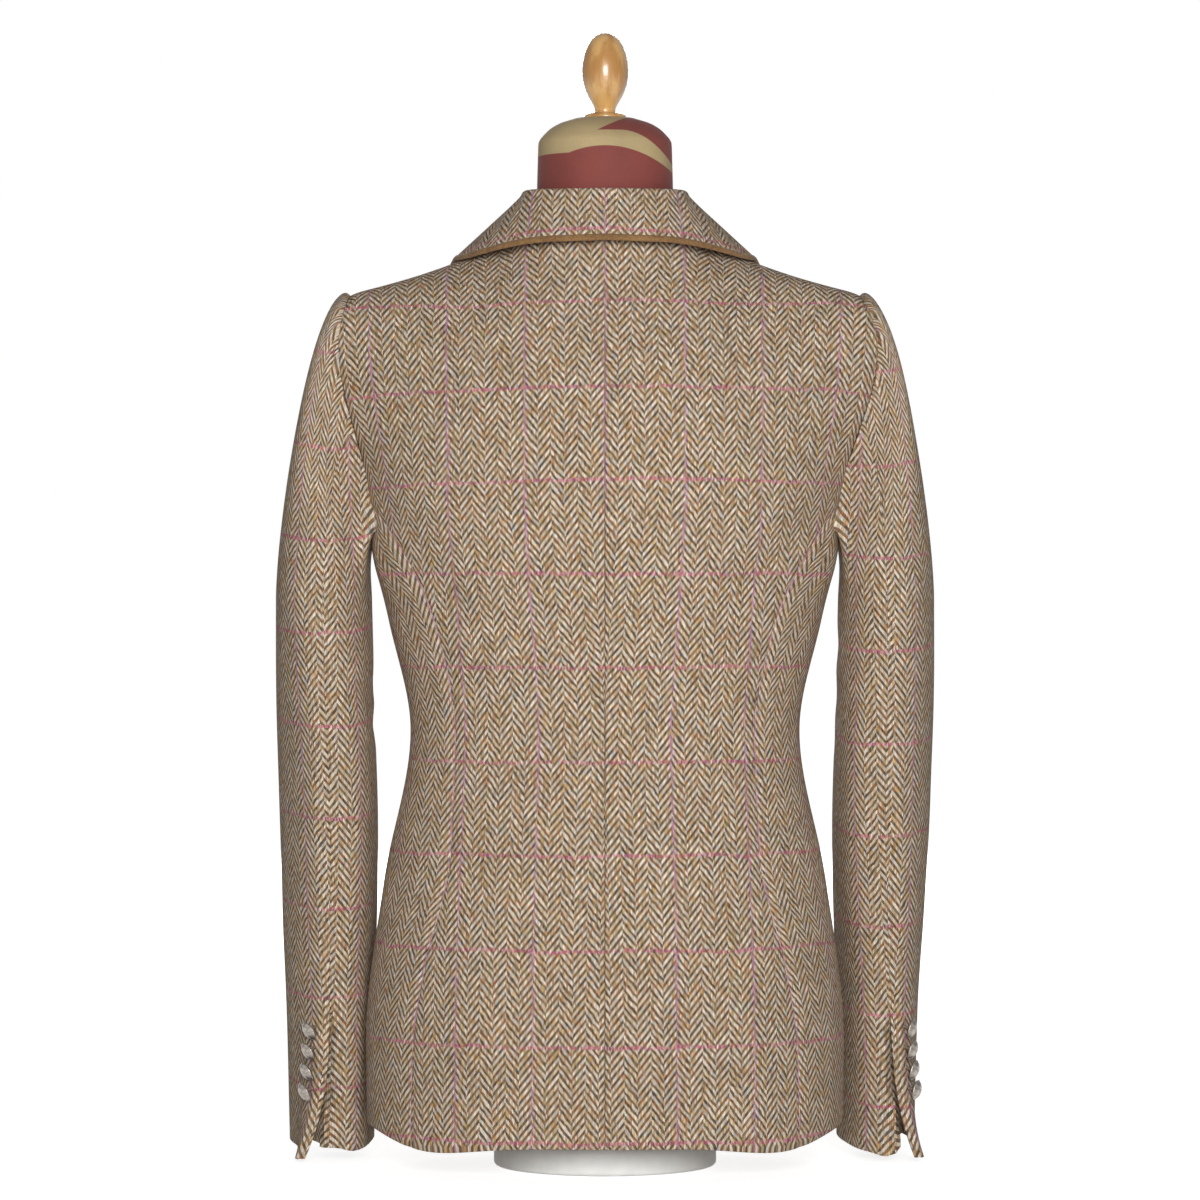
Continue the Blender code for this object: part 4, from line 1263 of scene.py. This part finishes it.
# %% [markdown]
# Foot
#
# A plain painted foot carries the form. It could be grown like the finial, but a primitive is quicker: a
# cylinder whose two rims are rounded. Its sharp edges are selected by their angle and bevelled, as one
# would by hand.

# %% Foot of the form
FOOT_RADIUS, FOOT_HEIGHT, FOOT_SIDES = 0.080, 0.0497, 96
FOOT_ROUND, ROUND_STEPS, RIM_ANGLE = 0.0030, 4, 60.0
bpy.ops.object.select_all(action="DESELECT")
bpy.ops.mesh.primitive_cylinder_add(
    vertices=FOOT_SIDES, radius=FOOT_RADIUS, depth=FOOT_HEIGHT, location=(0.0, 0.0, FOOT_HEIGHT / 2)
)
foot = bpy.context.active_object
foot.name = "foot_block"
bpy.ops.object.transform_apply(location=True, rotation=True, scale=True)
bpy.ops.object.mode_set(mode="EDIT")
bpy.ops.mesh.select_all(action="DESELECT")
bpy.ops.mesh.select_mode(type="EDGE")
bpy.ops.mesh.edges_select_sharp(sharpness=math.radians(RIM_ANGLE))
bpy.ops.mesh.bevel(offset=FOOT_ROUND, segments=ROUND_STEPS)
bpy.ops.object.mode_set(mode="OBJECT")
bpy.ops.object.shade_smooth_by_angle(angle=math.radians(SOFT_ANGLE))
stands_for(foot, "form_foot")
print("foot faces:", len(foot.data.polygons))

# %% [markdown]
# Buttons
#
# Four domed pewter buttons close each cuff and two larger ones the fronts. One is modelled, and its
# copies are set on the cloth. A shank button droops under its own weight, so each leans down from the
# cloth's normal, a little unevenly. Each copy keeps the places of its points before it was set, so
# that its finish can follow its own rings.

# %% Buttons on the cuffs and fronts
BUTTON_SIDES, BUTTON_ANGLE = 40, 65.0
CUFF_BUTTON_HEIGHTS = (0.1000, 0.0852, 0.0704, 0.0556)
FRONT_BUTTON_HEIGHTS, FRONT_BUTTON_SIZE = (0.340, 0.235), 1.25
CUFF_FACING = {
    1: ((0.72, 0.46, -0.50), (0.76, 0.42, -0.50), (0.77, 0.39, -0.48), (0.80, 0.40, -0.44)),
    -1: ((0.92, 0.28, -0.27), (0.90, 0.34, -0.32), (0.91, 0.33, -0.27), (0.92, 0.33, -0.20)),
}
FRONT_FACING = ((0.05, -1.0, -0.24), (-0.04, -1.0, -0.30))
BUTTON_SEAT, SEAT_RISE, SEAT_AT = 0.0002, 0.0045, {1: 0.930, -1: 0.942}
SEAT_STEPS = np.array((-0.01, 0.0, 0.01))


def set_button(node, point, normal, facing, scale):
    """A copy of the pattern on the cloth: its shank stands on a point, and its face looks one way."""
    button = in_scene(f"{node}_pewter", pattern.data.copy())
    facing = Vector(facing).normalized()
    lean = Vector(normal).angle(facing)
    seat = Vector(point) + Vector(normal) * (BUTTON_SEAT + math.sin(lean) * BUTTON[0].radius * scale)
    turn = facing.to_track_quat("Z", "Y").to_matrix().to_4x4()
    button.data.transform(Matrix.Translation(seat) @ turn @ Matrix.Scale(scale, 4))
    middle = button.data.attributes.new("middle", "FLOAT_VECTOR", "POINT")
    middle.data.foreach_set("vector", [value for vert in pattern.data.vertices for value in vert.co])
    stands_for(button, node)
    return button


def cuff_seat(side, height):
    """A point and normal on the top sleeve, beside the vent."""
    lowered = 1.0 + (BICEPS - height - SEAT_RISE) / (BICEPS - CUFF)
    across, down = np.meshgrid(SEAT_AT[side] + SEAT_STEPS, lowered + SEAT_STEPS)
    points = top_sleeve_point(across, down, side)
    normal = grid_normals(points, points - sleeve_centre(points[..., 2]))
    return mirrored(points[1, 1], side), mirrored(normal[1, 1], side)


pattern = grown("button_pattern", BUTTON, BUTTON_SIDES, BUTTON_ANGLE)
buttons = []
for side, word in SIDES:
    for number, height in enumerate(CUFF_BUTTON_HEIGHTS, 1):
        point, normal = cuff_seat(side, height)
        facing = mirrored(np.array(CUFF_FACING[side][number - 1]), side)
        buttons.append(set_button(f"cuff_button_{word}_{number}", point, normal, facing, 1.0))
for number, height in enumerate(FRONT_BUTTON_HEIGHTS, 1):
    place = ring_point(BODY, np.array(np.pi), np.array(height)) + np.array((0.0, -OVER_LIFT, 0.0))
    setting = (place, (0.0, -1.0, 0.0), FRONT_FACING[number - 1], FRONT_BUTTON_SIZE)
    buttons.append(set_button(f"front_button_{number}", *setting))
bpy.data.objects.remove(pattern, do_unlink=True)
print("buttons:", len(buttons))

# %% [markdown]
# Wiring materials
#
# Materials are graphs of nodes. They can be wired by hand in the shader editor, and a few small
# helpers do the same here: one adds a node with its inputs, and others add a sum, a soft step or a mix.

# %% Node helpers
def plug(tree, node, inputs):
    """Fills a node's inputs: a number is set on the socket, another node's socket is linked to it."""
    for key, value in inputs.items():
        if isinstance(value, bpy.types.NodeSocket):
            tree.links.new(value, node.inputs[key])
        else:
            node.inputs[key].default_value = value


def wired(tree, kind, inputs=None, **settings):
    node = tree.nodes.new(kind)
    for name, value in settings.items():
        setattr(node, name, value)
    plug(tree, node, inputs or {})
    return node


def sums(tree, operation, *values):
    return wired(tree, "ShaderNodeMath", dict(enumerate(values)), operation=operation).outputs[0]


def smooth_step(tree, value, low, high):
    settings = {"Value": value, "From Min": low, "From Max": high}
    return wired(tree, "ShaderNodeMapRange", settings, interpolation_type="SMOOTHSTEP").outputs[0]


def blend(tree, factor, first, second, kind="MIX"):
    inputs = {0: factor, 6: first, 7: second}
    return wired(tree, "ShaderNodeMix", inputs, data_type="RGBA", blend_type=kind).outputs[2]


def between(tree, value, low, high):
    return wired(tree, "ShaderNodeMapRange", {"Value": value, "To Min": low, "To Max": high}).outputs[0]


print("node helpers ready")

# %% [markdown]
# Patterns and new materials
#
# Most finishes here mix colours by a noise and raise fine bumps with it, so these get helpers as well.
# A group is a graph with its own inputs and outputs, which several materials can share.

# %% Pattern and material helpers
def palette(tree, value, stops):
    """A ramp in steps: each colour holds from its place to the next."""
    node = wired(tree, "ShaderNodeValToRGB", {0: value})
    node.color_ramp.interpolation = "CONSTANT"
    while len(node.color_ramp.elements) < len(stops):
        node.color_ramp.elements.new(1.0)
    for element, (place, colour) in zip(node.color_ramp.elements, stops):
        element.position = place
        element.color = (*colour, 1.0)
    return node.outputs[0]


def noise(tree, place, scale, detail=2.0):
    settings = {"Vector": place, "Scale": scale, "Detail": detail}
    return wired(tree, "ShaderNodeTexNoise", settings).outputs[0]


def grey(tree, value):
    return wired(tree, "ShaderNodeCombineColor", {0: value, 1: value, 2: value}).outputs[0]


def bumped(tree, height, strength, distance):
    """A normal that is bent by a height, with a strength from 0 to 1 and a depth in metres."""
    settings = {"Strength": strength, "Distance": distance, "Height": height}
    return wired(tree, "ShaderNodeBump", settings).outputs[0]


def object_place(tree):
    return wired(tree, "ShaderNodeTexCoord").outputs["Object"]


def new_group(name, inputs, outputs):
    group = bpy.data.node_groups.new(name, "ShaderNodeTree")
    for socket, kind in inputs:
        group.interface.new_socket(name=socket, in_out="INPUT", socket_type=kind)
    for socket, kind in outputs:
        group.interface.new_socket(name=socket, in_out="OUTPUT", socket_type=kind)
    return group, group.nodes.new("NodeGroupInput"), group.nodes.new("NodeGroupOutput")


def new_material(name):
    material = bpy.data.materials.new(name)
    material.use_nodes = True
    return material, material.node_tree, material.node_tree.nodes["Principled BSDF"]


print("material helpers ready")

# %% [markdown]
# The tweed's yarns
#
# The cloth is spun from many shades. A strip of pale warp shows cream, honey, grey and rust by turns,
# and a dark one several browns, so each palette lists its shades with the share at which each starts.
# Sizes are those of the real cloth, in metres.

# %% Yarns and sizes of the weave
HERRINGBONE, STRIP_PITCH, STRIPS_PER_COLUMN, COLUMN_BREAK = 0.0094, 0.0059, 2.0, 0.38
PANE_ACROSS, PANE_UP, PANE_PHASE = 0.0564, 0.0668, 0.0157
YARNS_IN_PANE = 56
YARN = PANE_ACROSS / YARNS_IN_PANE
PALE_YARNS = (
    (0.00, (0.70, 0.62, 0.51)),
    (0.32, (0.62, 0.51, 0.37)),
    (0.58, (0.57, 0.43, 0.25)),
    (0.72, (0.55, 0.52, 0.47)),
    (0.86, (0.52, 0.35, 0.15)),
    (0.94, (0.50, 0.29, 0.16)),
)
DARK_YARNS = (
    (0.00, (0.215, 0.125, 0.070)),
    (0.28, (0.140, 0.088, 0.058)),
    (0.48, (0.290, 0.180, 0.105)),
    (0.68, (0.195, 0.160, 0.082)),
    (0.79, (0.310, 0.130, 0.060)),
    (0.90, (0.115, 0.100, 0.092)),
)
PANE_YARNS = (
    (0.00, (0.62, 0.29, 0.31)),
    (0.42, (0.50, 0.15, 0.18)),
    (0.76, (0.36, 0.09, 0.19)),
)
MAUVE_WARP = (0.50, 0.22, 0.38, 1.0)
MAUVE_SHARE, PINK_SHARE = 0.70, 0.85
DRIFT, DRIFT_SCALE = 0.0020, 160.0
WAVE, WAVE_SCALE = 0.0050, 26.0
FUZZ_SCALE, MOTTLE_SCALE = 900.0, 38.0
PALE_EDGES, BEAD_EDGES = (0.38, 0.60), (0.0, 0.36)
WARP_EDGES, WARP_COVER = (0.0013, 0.0008), (0.62, 0.52)
WEFT_EDGES, WEFT_COVER = (0.0016, 0.0009), (0.70, 0.60)
LEAST_SHADE, FUZZ_SHADE, MOTTLE_SHADE, TONE_SHADE, BEAD_PAINTED_SHADE = 0.10, 0.50, 0.30, 0.46, 0.34
STRIP_HEIGHT, BEAD_HEIGHT, FUZZ_HEIGHT = 0.7, 0.4, 0.6
print("one herringbone column:", HERRINGBONE, "m, one pane:", PANE_ACROSS, "by", PANE_UP, "m")

# %% [markdown]
# The tweed's weave
#
# The cloth is a herringbone: columns of slanting strips, pale and dark by turns, that lean one way and
# then the other. A windowpane of pink weft and mauve warp crosses it, broken into dashes because its
# yarns show only where they pass over. It is worked out in the flat cut's own metres: a zigzag of the
# place across decides each strip's phase, and single yarns get their own shade from a white noise.

# %% Herringbone group
def pane_line(group, place, repeat, edges, cover, covered):
    """A line of the windowpane: 1 on its yarns where they pass over, 0 elsewhere."""
    off = sums(group, "ABSOLUTE", sums(group, "WRAP", place, repeat / 2, -repeat / 2))
    return sums(group, "MULTIPLY", smooth_step(group, off, *edges), smooth_step(group, cover, *covered))


def herringbone_group():
    group, taken, given = new_group(
        "herringbone",
        [("Place", "NodeSocketVector")],
        [("Color", "NodeSocketColor"), ("Height", "NodeSocketFloat")],
    )
    place = taken.outputs["Place"]
    split = wired(group, "ShaderNodeSeparateXYZ", {0: place})
    shift = sums(group, "MULTIPLY_ADD", noise(group, place, DRIFT_SCALE), DRIFT, -DRIFT / 2)
    u = sums(group, "ADD", split.outputs[0], shift)
    v = sums(group, "SUBTRACT", split.outputs[1], shift)
    column = sums(group, "DIVIDE", u, HERRINGBONE)
    odd = sums(group, "FLOORED_MODULO", sums(group, "FLOOR", column), 2.0)
    lean = sums(group, "MULTIPLY", sums(group, "PINGPONG", column, 1.0), STRIPS_PER_COLUMN)
    broken = sums(group, "MULTIPLY_ADD", odd, COLUMN_BREAK, sums(group, "DIVIDE", v, STRIP_PITCH))
    phase = sums(group, "ADD", broken, lean)
    strip = sums(group, "MULTIPLY", sums(group, "PINGPONG", phase, 0.5), 2.0)
    yarn = sums(group, "ADD", sums(group, "DIVIDE", u, YARN), 0.5)
    cell = wired(group, "ShaderNodeCombineXYZ", {
        0: sums(group, "FLOOR", yarn),
        1: sums(group, "FLOOR", sums(group, "MULTIPLY_ADD", phase, 2.0, 0.5)),
    })
    stitch = wired(group, "ShaderNodeTexWhiteNoise", {"Vector": cell.outputs[0]}, noise_dimensions="2D")
    chance, tone, cover = wired(group, "ShaderNodeSeparateColor", {0: stitch.outputs["Color"]}).outputs
    pale = smooth_step(group, strip, *PALE_EDGES)
    cloth = blend(group, pale, palette(group, chance, DARK_YARNS), palette(group, chance, PALE_YARNS))
    warp = pane_line(group, u, PANE_ACROSS, WARP_EDGES, cover, WARP_COVER)
    wave = sums(group, "MULTIPLY_ADD", noise(group, place, WAVE_SCALE), WAVE, PANE_PHASE - WAVE / 2)
    weft = pane_line(group, sums(group, "SUBTRACT", v, wave), PANE_UP, WEFT_EDGES, cover, WEFT_COVER)
    cloth = blend(group, sums(group, "MULTIPLY", warp, MAUVE_SHARE), cloth, MAUVE_WARP)
    pink = palette(group, chance, PANE_YARNS)
    cloth = blend(group, sums(group, "MULTIPLY", weft, PINK_SHARE), cloth, pink)
    bead = smooth_step(group, sums(group, "PINGPONG", yarn, 0.5), *BEAD_EDGES)
    fuzz = noise(group, place, FUZZ_SCALE, detail=3.0)
    mottle = noise(group, place, MOTTLE_SCALE, detail=3.0)
    shade = sums(group, "MULTIPLY", mottle, MOTTLE_SHADE)
    shade = sums(group, "MULTIPLY_ADD", fuzz, FUZZ_SHADE, shade)
    shade = sums(group, "ADD", shade, sums(group, "MULTIPLY_ADD", tone, TONE_SHADE, LEAST_SHADE))
    # Each yarn is painted lighter on its round crown and darker at its sides where it meets the next:
    # painted shade between the yarns.
    shade = sums(group, "MULTIPLY_ADD", bead, BEAD_PAINTED_SHADE, shade)
    height = sums(group, "MULTIPLY", strip, STRIP_HEIGHT)
    height = sums(group, "MULTIPLY_ADD", bead, BEAD_HEIGHT, height)
    plug(group, given, {
        "Color": blend(group, 1.0, cloth, grey(group, shade), "MULTIPLY"),
        "Height": sums(group, "MULTIPLY_ADD", fuzz, FUZZ_HEIGHT, height),
    })
    return group


tweed_weave = herringbone_group()
print("herringbone nodes:", len(tweed_weave.nodes))

# %% [markdown]
# The tweed's finish
#
# Tweed is matt and a little hairy. The group gives the colour and height, read from the UV map in
# metres, and the rest is the same all over the cloth: very rough, little gloss, and a trace of sheen.

# %% Tweed material
TWEED_BUMP = (0.55, 0.0006)


def tweed():
    material, tree, shader = new_material("herringbone_tweed")
    weave = wired(tree, "ShaderNodeGroup", node_tree=tweed_weave)
    plug(tree, weave, {"Place": wired(tree, "ShaderNodeUVMap", uv_map="cloth").outputs[0]})
    plug(tree, shader, {
        "Base Color": weave.outputs["Color"],
        "Normal": bumped(tree, weave.outputs["Height"], *TWEED_BUMP),
        "Roughness": 0.92,
        "Specular IOR Level": 0.18,
        "Sheen Weight": 0.02,
        "Sheen Roughness": 0.55,
    })
    return material


tweed_cloth = tweed()
for piece in cloth_pieces:
    piece.data.materials.append(tweed_cloth)
print("tweed pieces:", len(cloth_pieces))

# %% [markdown]
# Suede and pewter
#
# Suede is matt with a blotchy nap. Pewter is a soft grey metal with fine rays and some tarnish, and the
# shank below it is wound with thread. Pictures of both would need fitting to each shape, so they are
# made from noises: the suede in the piping's Object coordinates, and a button in the places that its
# points had before it was set on the cloth.

# %% Suede and pewter
NAP_SCALE, BLOTCH_SCALE, NAP_SHARE = 700.0, 60.0, 0.6
NAP_EDGES, NAP_BUMP = (0.35, 0.65), (0.4, 0.0004)
SHANK_TOP, SHANK_EDGE, THREAD_TURNS = 0.0046, 0.0002, 1800.0
RAYS, RAY_SCALE, RAY_ROUGHNESS, RAY_BUMP = 9.0, 6.0, (0.26, 0.44), (0.25, 0.0002)
TARNISH_SCALE, TARNISH_EDGES = 420.0, (0.3, 0.75)
SUEDE_DARK, SUEDE_PALE = (0.150, 0.074, 0.024, 1.0), (0.300, 0.165, 0.062, 1.0)
TARNISH, PEWTER = (0.24, 0.212, 0.185, 1.0), (0.56, 0.51, 0.455, 1.0)
THREAD_DARK, THREAD_PALE = (0.060, 0.040, 0.028, 1.0), (0.26, 0.20, 0.14, 1.0)


def suede():
    material, tree, shader = new_material("tan_suede")
    place = object_place(tree)
    nap = noise(tree, place, NAP_SCALE, detail=4.0)
    blotch = sums(tree, "MULTIPLY", noise(tree, place, BLOTCH_SCALE, detail=3.0), 1.0 - NAP_SHARE)
    tone = sums(tree, "MULTIPLY_ADD", nap, NAP_SHARE, blotch)
    plug(tree, shader, {
        "Base Color": blend(tree, smooth_step(tree, tone, *NAP_EDGES), SUEDE_DARK, SUEDE_PALE),
        "Normal": bumped(tree, nap, *NAP_BUMP),
        "Roughness": 0.88,
        "Sheen Weight": 0.15,
    })
    return material


def pewter():
    material, tree, shader = new_material("satin_pewter")
    place = wired(tree, "ShaderNodeAttribute", attribute_name="middle").outputs["Vector"]
    x, y, z = wired(tree, "ShaderNodeSeparateXYZ", {0: place}).outputs
    angle = sums(tree, "ARCTAN2", y, x)
    ray = wired(tree, "ShaderNodeCombineXYZ", {0: sums(tree, "MULTIPLY", angle, RAYS), 2: 0.5})
    brushed = noise(tree, ray.outputs[0], RAY_SCALE, detail=3.0)
    tarnish = smooth_step(tree, noise(tree, place, TARNISH_SCALE, detail=3.0), *TARNISH_EDGES)
    button = smooth_step(tree, z, SHANK_TOP - SHANK_EDGE, SHANK_TOP)
    # Each turn of the thread is painted pale on its crown and dark between turns: painted shade of the
    # round turns.
    wound = sums(tree, "PINGPONG", sums(tree, "MULTIPLY", z, THREAD_TURNS), 1.0)
    thread = blend(tree, wound, THREAD_DARK, THREAD_PALE)
    plug(tree, shader, {
        "Base Color": blend(tree, button, thread, blend(tree, tarnish, TARNISH, PEWTER)),
        "Roughness": between(tree, brushed, *RAY_ROUGHNESS),
        "Metallic": button,
        "Normal": bumped(tree, brushed, *RAY_BUMP),
    })
    return material


piping.data.materials.append(suede())
button_metal = pewter()
for button in buttons:
    button.data.materials.append(button_metal)
print("buttons in", button_metal.name)

# %% [markdown]
# Varnished wood and paint
#
# The finial's wood has long growth lines under honey varnish. Rings and fine pores that fill space, both
# drawn out along the grain, run through the turned shape as real ones do, which a wrapped picture would
# not. A clear coat lies on top. The foot's paint shows only faint brush marks.

# %% Varnished wood and painted foot
WOOD_DARK, WOOD_PALE = (0.47, 0.225, 0.060, 1.0), (0.70, 0.41, 0.145, 1.0)
RING_LENGTH, RING_SHARE = 0.16, 0.6
PORE_LENGTH, PORE_SCALE = 0.05, 1500.0
GRAIN_EDGES, GRAIN_ROUGHNESS = (0.15, 0.85), (0.34, 0.26)
PAINT_DARK, PAINT_PALE = (0.80, 0.79, 0.76, 1.0), (0.86, 0.85, 0.82, 1.0)
BRUSH_SCALE, BRUSH_EDGES, BRUSH_BUMP = 90.0, (0.3, 0.7), (0.1, 0.0005)


def drawn_out(tree, place, share):
    """Places pressed together along Z, so that a pattern on them is drawn out along the grain."""
    return wired(tree, "ShaderNodeMapping", {"Vector": place, "Scale": (1.0, 1.0, share)}).outputs[0]


def varnished_wood():
    material, tree, shader = new_material("honey_varnished_wood")
    place = object_place(tree)
    waves = {"Scale": 42.0, "Distortion": 5.0, "Detail": 3.0, "Detail Scale": 2.2}
    waves["Vector"] = drawn_out(tree, place, RING_LENGTH)
    rings = wired(tree, "ShaderNodeTexWave", waves, wave_type="RINGS", rings_direction="Y")
    pores = noise(tree, drawn_out(tree, place, PORE_LENGTH), PORE_SCALE)
    pores = sums(tree, "MULTIPLY", pores, 1.0 - RING_SHARE)
    grain = sums(tree, "MULTIPLY_ADD", rings.outputs[1], RING_SHARE, pores)
    plug(tree, shader, {
        "Base Color": blend(tree, smooth_step(tree, grain, *GRAIN_EDGES), WOOD_DARK, WOOD_PALE),
        "Roughness": between(tree, grain, *GRAIN_ROUGHNESS),
        "Coat Weight": 0.5,
        "Coat Roughness": 0.14,
    })
    return material


def painted_wood():
    material, tree, shader = new_material("off_white_paint")
    brushed = noise(tree, object_place(tree), BRUSH_SCALE, detail=4.0)
    plug(tree, shader, {
        "Base Color": blend(tree, smooth_step(tree, brushed, *BRUSH_EDGES), PAINT_DARK, PAINT_PALE),
        "Normal": bumped(tree, brushed, *BRUSH_BUMP),
        "Roughness": 0.5,
    })
    return material


wood = varnished_wood()
finial.data.materials.append(wood)
flange.data.materials.append(wood)
foot.data.materials.append(painted_wood())
print("wood on", finial.name, "and", flange.name)

# %% [markdown]
# The form's cover
#
# The cover is an old printed cotton in tan with broad brick-red bands round the neck. They could be
# painted on, but two simple shapes describe them: each band is a range of height that bends with the
# place across, in Object coordinates. A fine plain weave and the darkening of age lie over both.

# %% Form cover
COVER_TAN = (0.46, 0.35, 0.18, 1.0)
COVER_RED = (0.225, 0.050, 0.040, 1.0)
BAND_LOW, BAND_HIGH, BAND_BOW, BAND_LEVEL = 0.676, 0.7290, 7.0, 0.0046
WEDGE_X, WEDGE_Z, WEDGE_RISE, WEDGE_FLAT, WEDGE_FALL = 0.0055, 0.7405, 0.515, 0.0165, 16.0
BAND_EDGE, BAND_TURN = 0.0003, 0.002
AGE_SCALE, THREAD_SCALE, THREAD_BUMP = 26.0, 1400.0, (0.3, 0.0003)
LEAST_COVER, AGE_SHADE, THREAD_SHADE = 0.55, 0.5, 0.38


def band_mask(tree, x, z):
    """The lower band, whose upper edge is level on one side and bows down on the other."""
    far = wired(tree, "ShaderNodeMapRange", {
        "Value": x, "From Min": 0.0, "From Max": BAND_TURN, "To Min": 1.0, "To Max": BAND_LEVEL,
    }).outputs[0]
    bow = sums(tree, "MINIMUM", sums(tree, "MULTIPLY", sums(tree, "MULTIPLY", x, x), BAND_BOW), far)
    low = smooth_step(tree, z, BAND_LOW - BAND_EDGE, BAND_LOW + BAND_EDGE)
    high = smooth_step(tree, sums(tree, "ADD", z, bow), BAND_HIGH + BAND_EDGE, BAND_HIGH - BAND_EDGE)
    return sums(tree, "MULTIPLY", low, high)


def wedge_mask(tree, x, z):
    """The upper band, a wedge that opens from a point and falls away to one side."""
    away = sums(tree, "SUBTRACT", WEDGE_X, x)
    upper = sums(tree, "SUBTRACT", sums(tree, "MULTIPLY_ADD", away, WEDGE_RISE, WEDGE_Z), z)
    beyond = sums(tree, "MAXIMUM", sums(tree, "SUBTRACT", away, WEDGE_FLAT), 0.0)
    fall = sums(tree, "MULTIPLY", sums(tree, "MULTIPLY", beyond, beyond), WEDGE_FALL)
    lower = sums(tree, "ADD", sums(tree, "SUBTRACT", z, WEDGE_Z), fall)
    edges = [smooth_step(tree, edge, -BAND_EDGE, BAND_EDGE) for edge in (upper, lower)]
    return sums(tree, "MULTIPLY", *edges)


def cover():
    material, tree, shader = new_material("banded_cotton_cover")
    place = object_place(tree)
    x, _, z = wired(tree, "ShaderNodeSeparateXYZ", {0: place}).outputs
    red = sums(tree, "MAXIMUM", band_mask(tree, x, z), wedge_mask(tree, x, z))
    colour = blend(tree, red, COVER_TAN, COVER_RED)
    age, threads = noise(tree, place, AGE_SCALE, detail=4.0), noise(tree, place, THREAD_SCALE)
    shade = sums(tree, "MULTIPLY_ADD", age, AGE_SHADE, LEAST_COVER)
    shade = sums(tree, "MULTIPLY_ADD", threads, THREAD_SHADE, shade)
    plug(tree, shader, {
        "Base Color": blend(tree, 1.0, colour, grey(tree, shade), "MULTIPLY"),
        "Normal": bumped(tree, threads, *THREAD_BUMP),
        "Roughness": 0.82,
        "Sheen Weight": 0.05,
    })
    return material


form.data.materials.append(cover())
print("form wears", form.data.materials[0].name)

# %% [markdown]
# Floor
#
# The jacket stands on a plain pale floor that has to look white up to the horizon. A lamp strong enough
# for that would bleach the cloth, so the floor glows a little where it is seen directly or mirrored,
# more with the distance, and adds no light of its own to the cloth.

# %% Floor
FLOOR_HALF, FLOOR_GLOW, GLOW_FROM, GLOW_TO = 20.0, 0.80, 0.5, 3.0
bpy.ops.object.select_all(action="DESELECT")
bpy.ops.mesh.primitive_plane_add(size=2.0 * FLOOR_HALF, location=(0.0, 0.0, 0.0))
floor = bpy.context.active_object
floor.name = "pale_floor"
floor_material, floor_tree, floor_shader = new_material("pale_floor")
rays = wired(floor_tree, "ShaderNodeLightPath")
seen = sums(floor_tree, "MAXIMUM", rays.outputs["Is Camera Ray"], rays.outputs["Is Glossy Ray"])
spot = {0: object_place(floor_tree)}
distance = wired(floor_tree, "ShaderNodeVectorMath", spot, operation="LENGTH").outputs["Value"]
far = smooth_step(floor_tree, distance, GLOW_FROM, GLOW_TO)
glow = sums(floor_tree, "MULTIPLY_ADD", far, 1.0 - FLOOR_GLOW, FLOOR_GLOW)
plug(floor_tree, floor_shader, {
    "Base Color": (0.70, 0.70, 0.70, 1.0),
    "Roughness": 0.9,
    "Specular IOR Level": 0.0,
    "Emission Color": grey(floor_tree, sums(floor_tree, "MULTIPLY", seen, glow)),
    "Emission Strength": 1.0,
})
floor.data.materials.append(floor_material)
print("floor:", 2.0 * FLOOR_HALF, "m wide")

# %% [markdown]
# Lamps
#
# One broad soft light stands near the camera, a little to its side, so the cloth darkens as it turns
# away. A sun would cut hard shadows, and an area lamp gives soft ones. A weaker one lights the front
# for the other views.

# %% Lamps
LOOK_HEIGHT = 0.413
Lamp = namedtuple("Lamp", "name place size power")
LAMPS = (
    Lamp("key", (-0.20, 3.9, 1.00), 1.3, 134.0),
    Lamp("front", (0.4, -4.0, 1.2), 1.8, 90.0),
)
for lamp in LAMPS:
    light = bpy.data.lights.new(lamp.name, "AREA")
    light.size = lamp.size
    light.energy = lamp.power
    holder = in_scene(lamp.name, light)
    holder.location = lamp.place
    aim = Vector((0.0, 0.0, LOOK_HEIGHT)) - Vector(lamp.place)
    holder.rotation_euler = aim.to_track_quat("-Z", "Y").to_euler()
print("lamps:", len(LAMPS))

# %% [markdown]
# White surroundings
#
# The camera sees plain white all round, and the varnish and pewter mirror it at half strength. As a
# light on the cloth it is kept low, because even light from everywhere would flatten the folds.

# %% White surroundings
WORLD_LIGHT, MIRRORED_LIGHT = 0.07, 0.5
world = bpy.data.worlds.new("white_room")
bpy.context.scene.world = world
world.use_nodes = True
sky = world.node_tree
path = wired(sky, "ShaderNodeLightPath")
mirrored_sky = sums(sky, "MULTIPLY", path.outputs["Is Glossy Ray"], MIRRORED_LIGHT)
direct_sky = sums(sky, "MAXIMUM", path.outputs["Is Camera Ray"], mirrored_sky)
plug(sky, sky.nodes["Background"], {
    "Color": (1.0, 1.0, 1.0, 1.0),
    "Strength": sums(sky, "MAXIMUM", direct_sky, WORLD_LIGHT),
})
bpy.context.scene.view_settings.view_transform = "Standard"
print("surroundings lit at", WORLD_LIGHT)

# %% [markdown]
# Camera
#
# The jacket is shown from behind, at its own height. A camera close by would make the near parts look
# too wide, so it stands far off with a long lens. It is level, and the shift alone does the framing.

# %% Camera
CAMERA_AWAY, FRAME_WIDTH, SENSOR, IMAGE = 3.5, 0.864, 36.0, 1200
SHIFT_ACROSS, SHIFT_UP = -5, -10
camera = bpy.data.cameras.new("level_back_view")
camera.sensor_width = SENSOR
camera.lens = SENSOR * CAMERA_AWAY / FRAME_WIDTH
camera.shift_x = SHIFT_ACROSS / IMAGE
camera.shift_y = SHIFT_UP / IMAGE
stand = in_scene("level_back_view", camera)
stand.location = (0.0, CAMERA_AWAY, LOOK_HEIGHT)
stand.rotation_euler = (math.pi / 2, 0.0, math.pi)
bpy.context.scene.camera = stand
print("lens:", round(camera.lens, 1), "mm")

# %% Update the scene
bpy.context.view_layer.update()
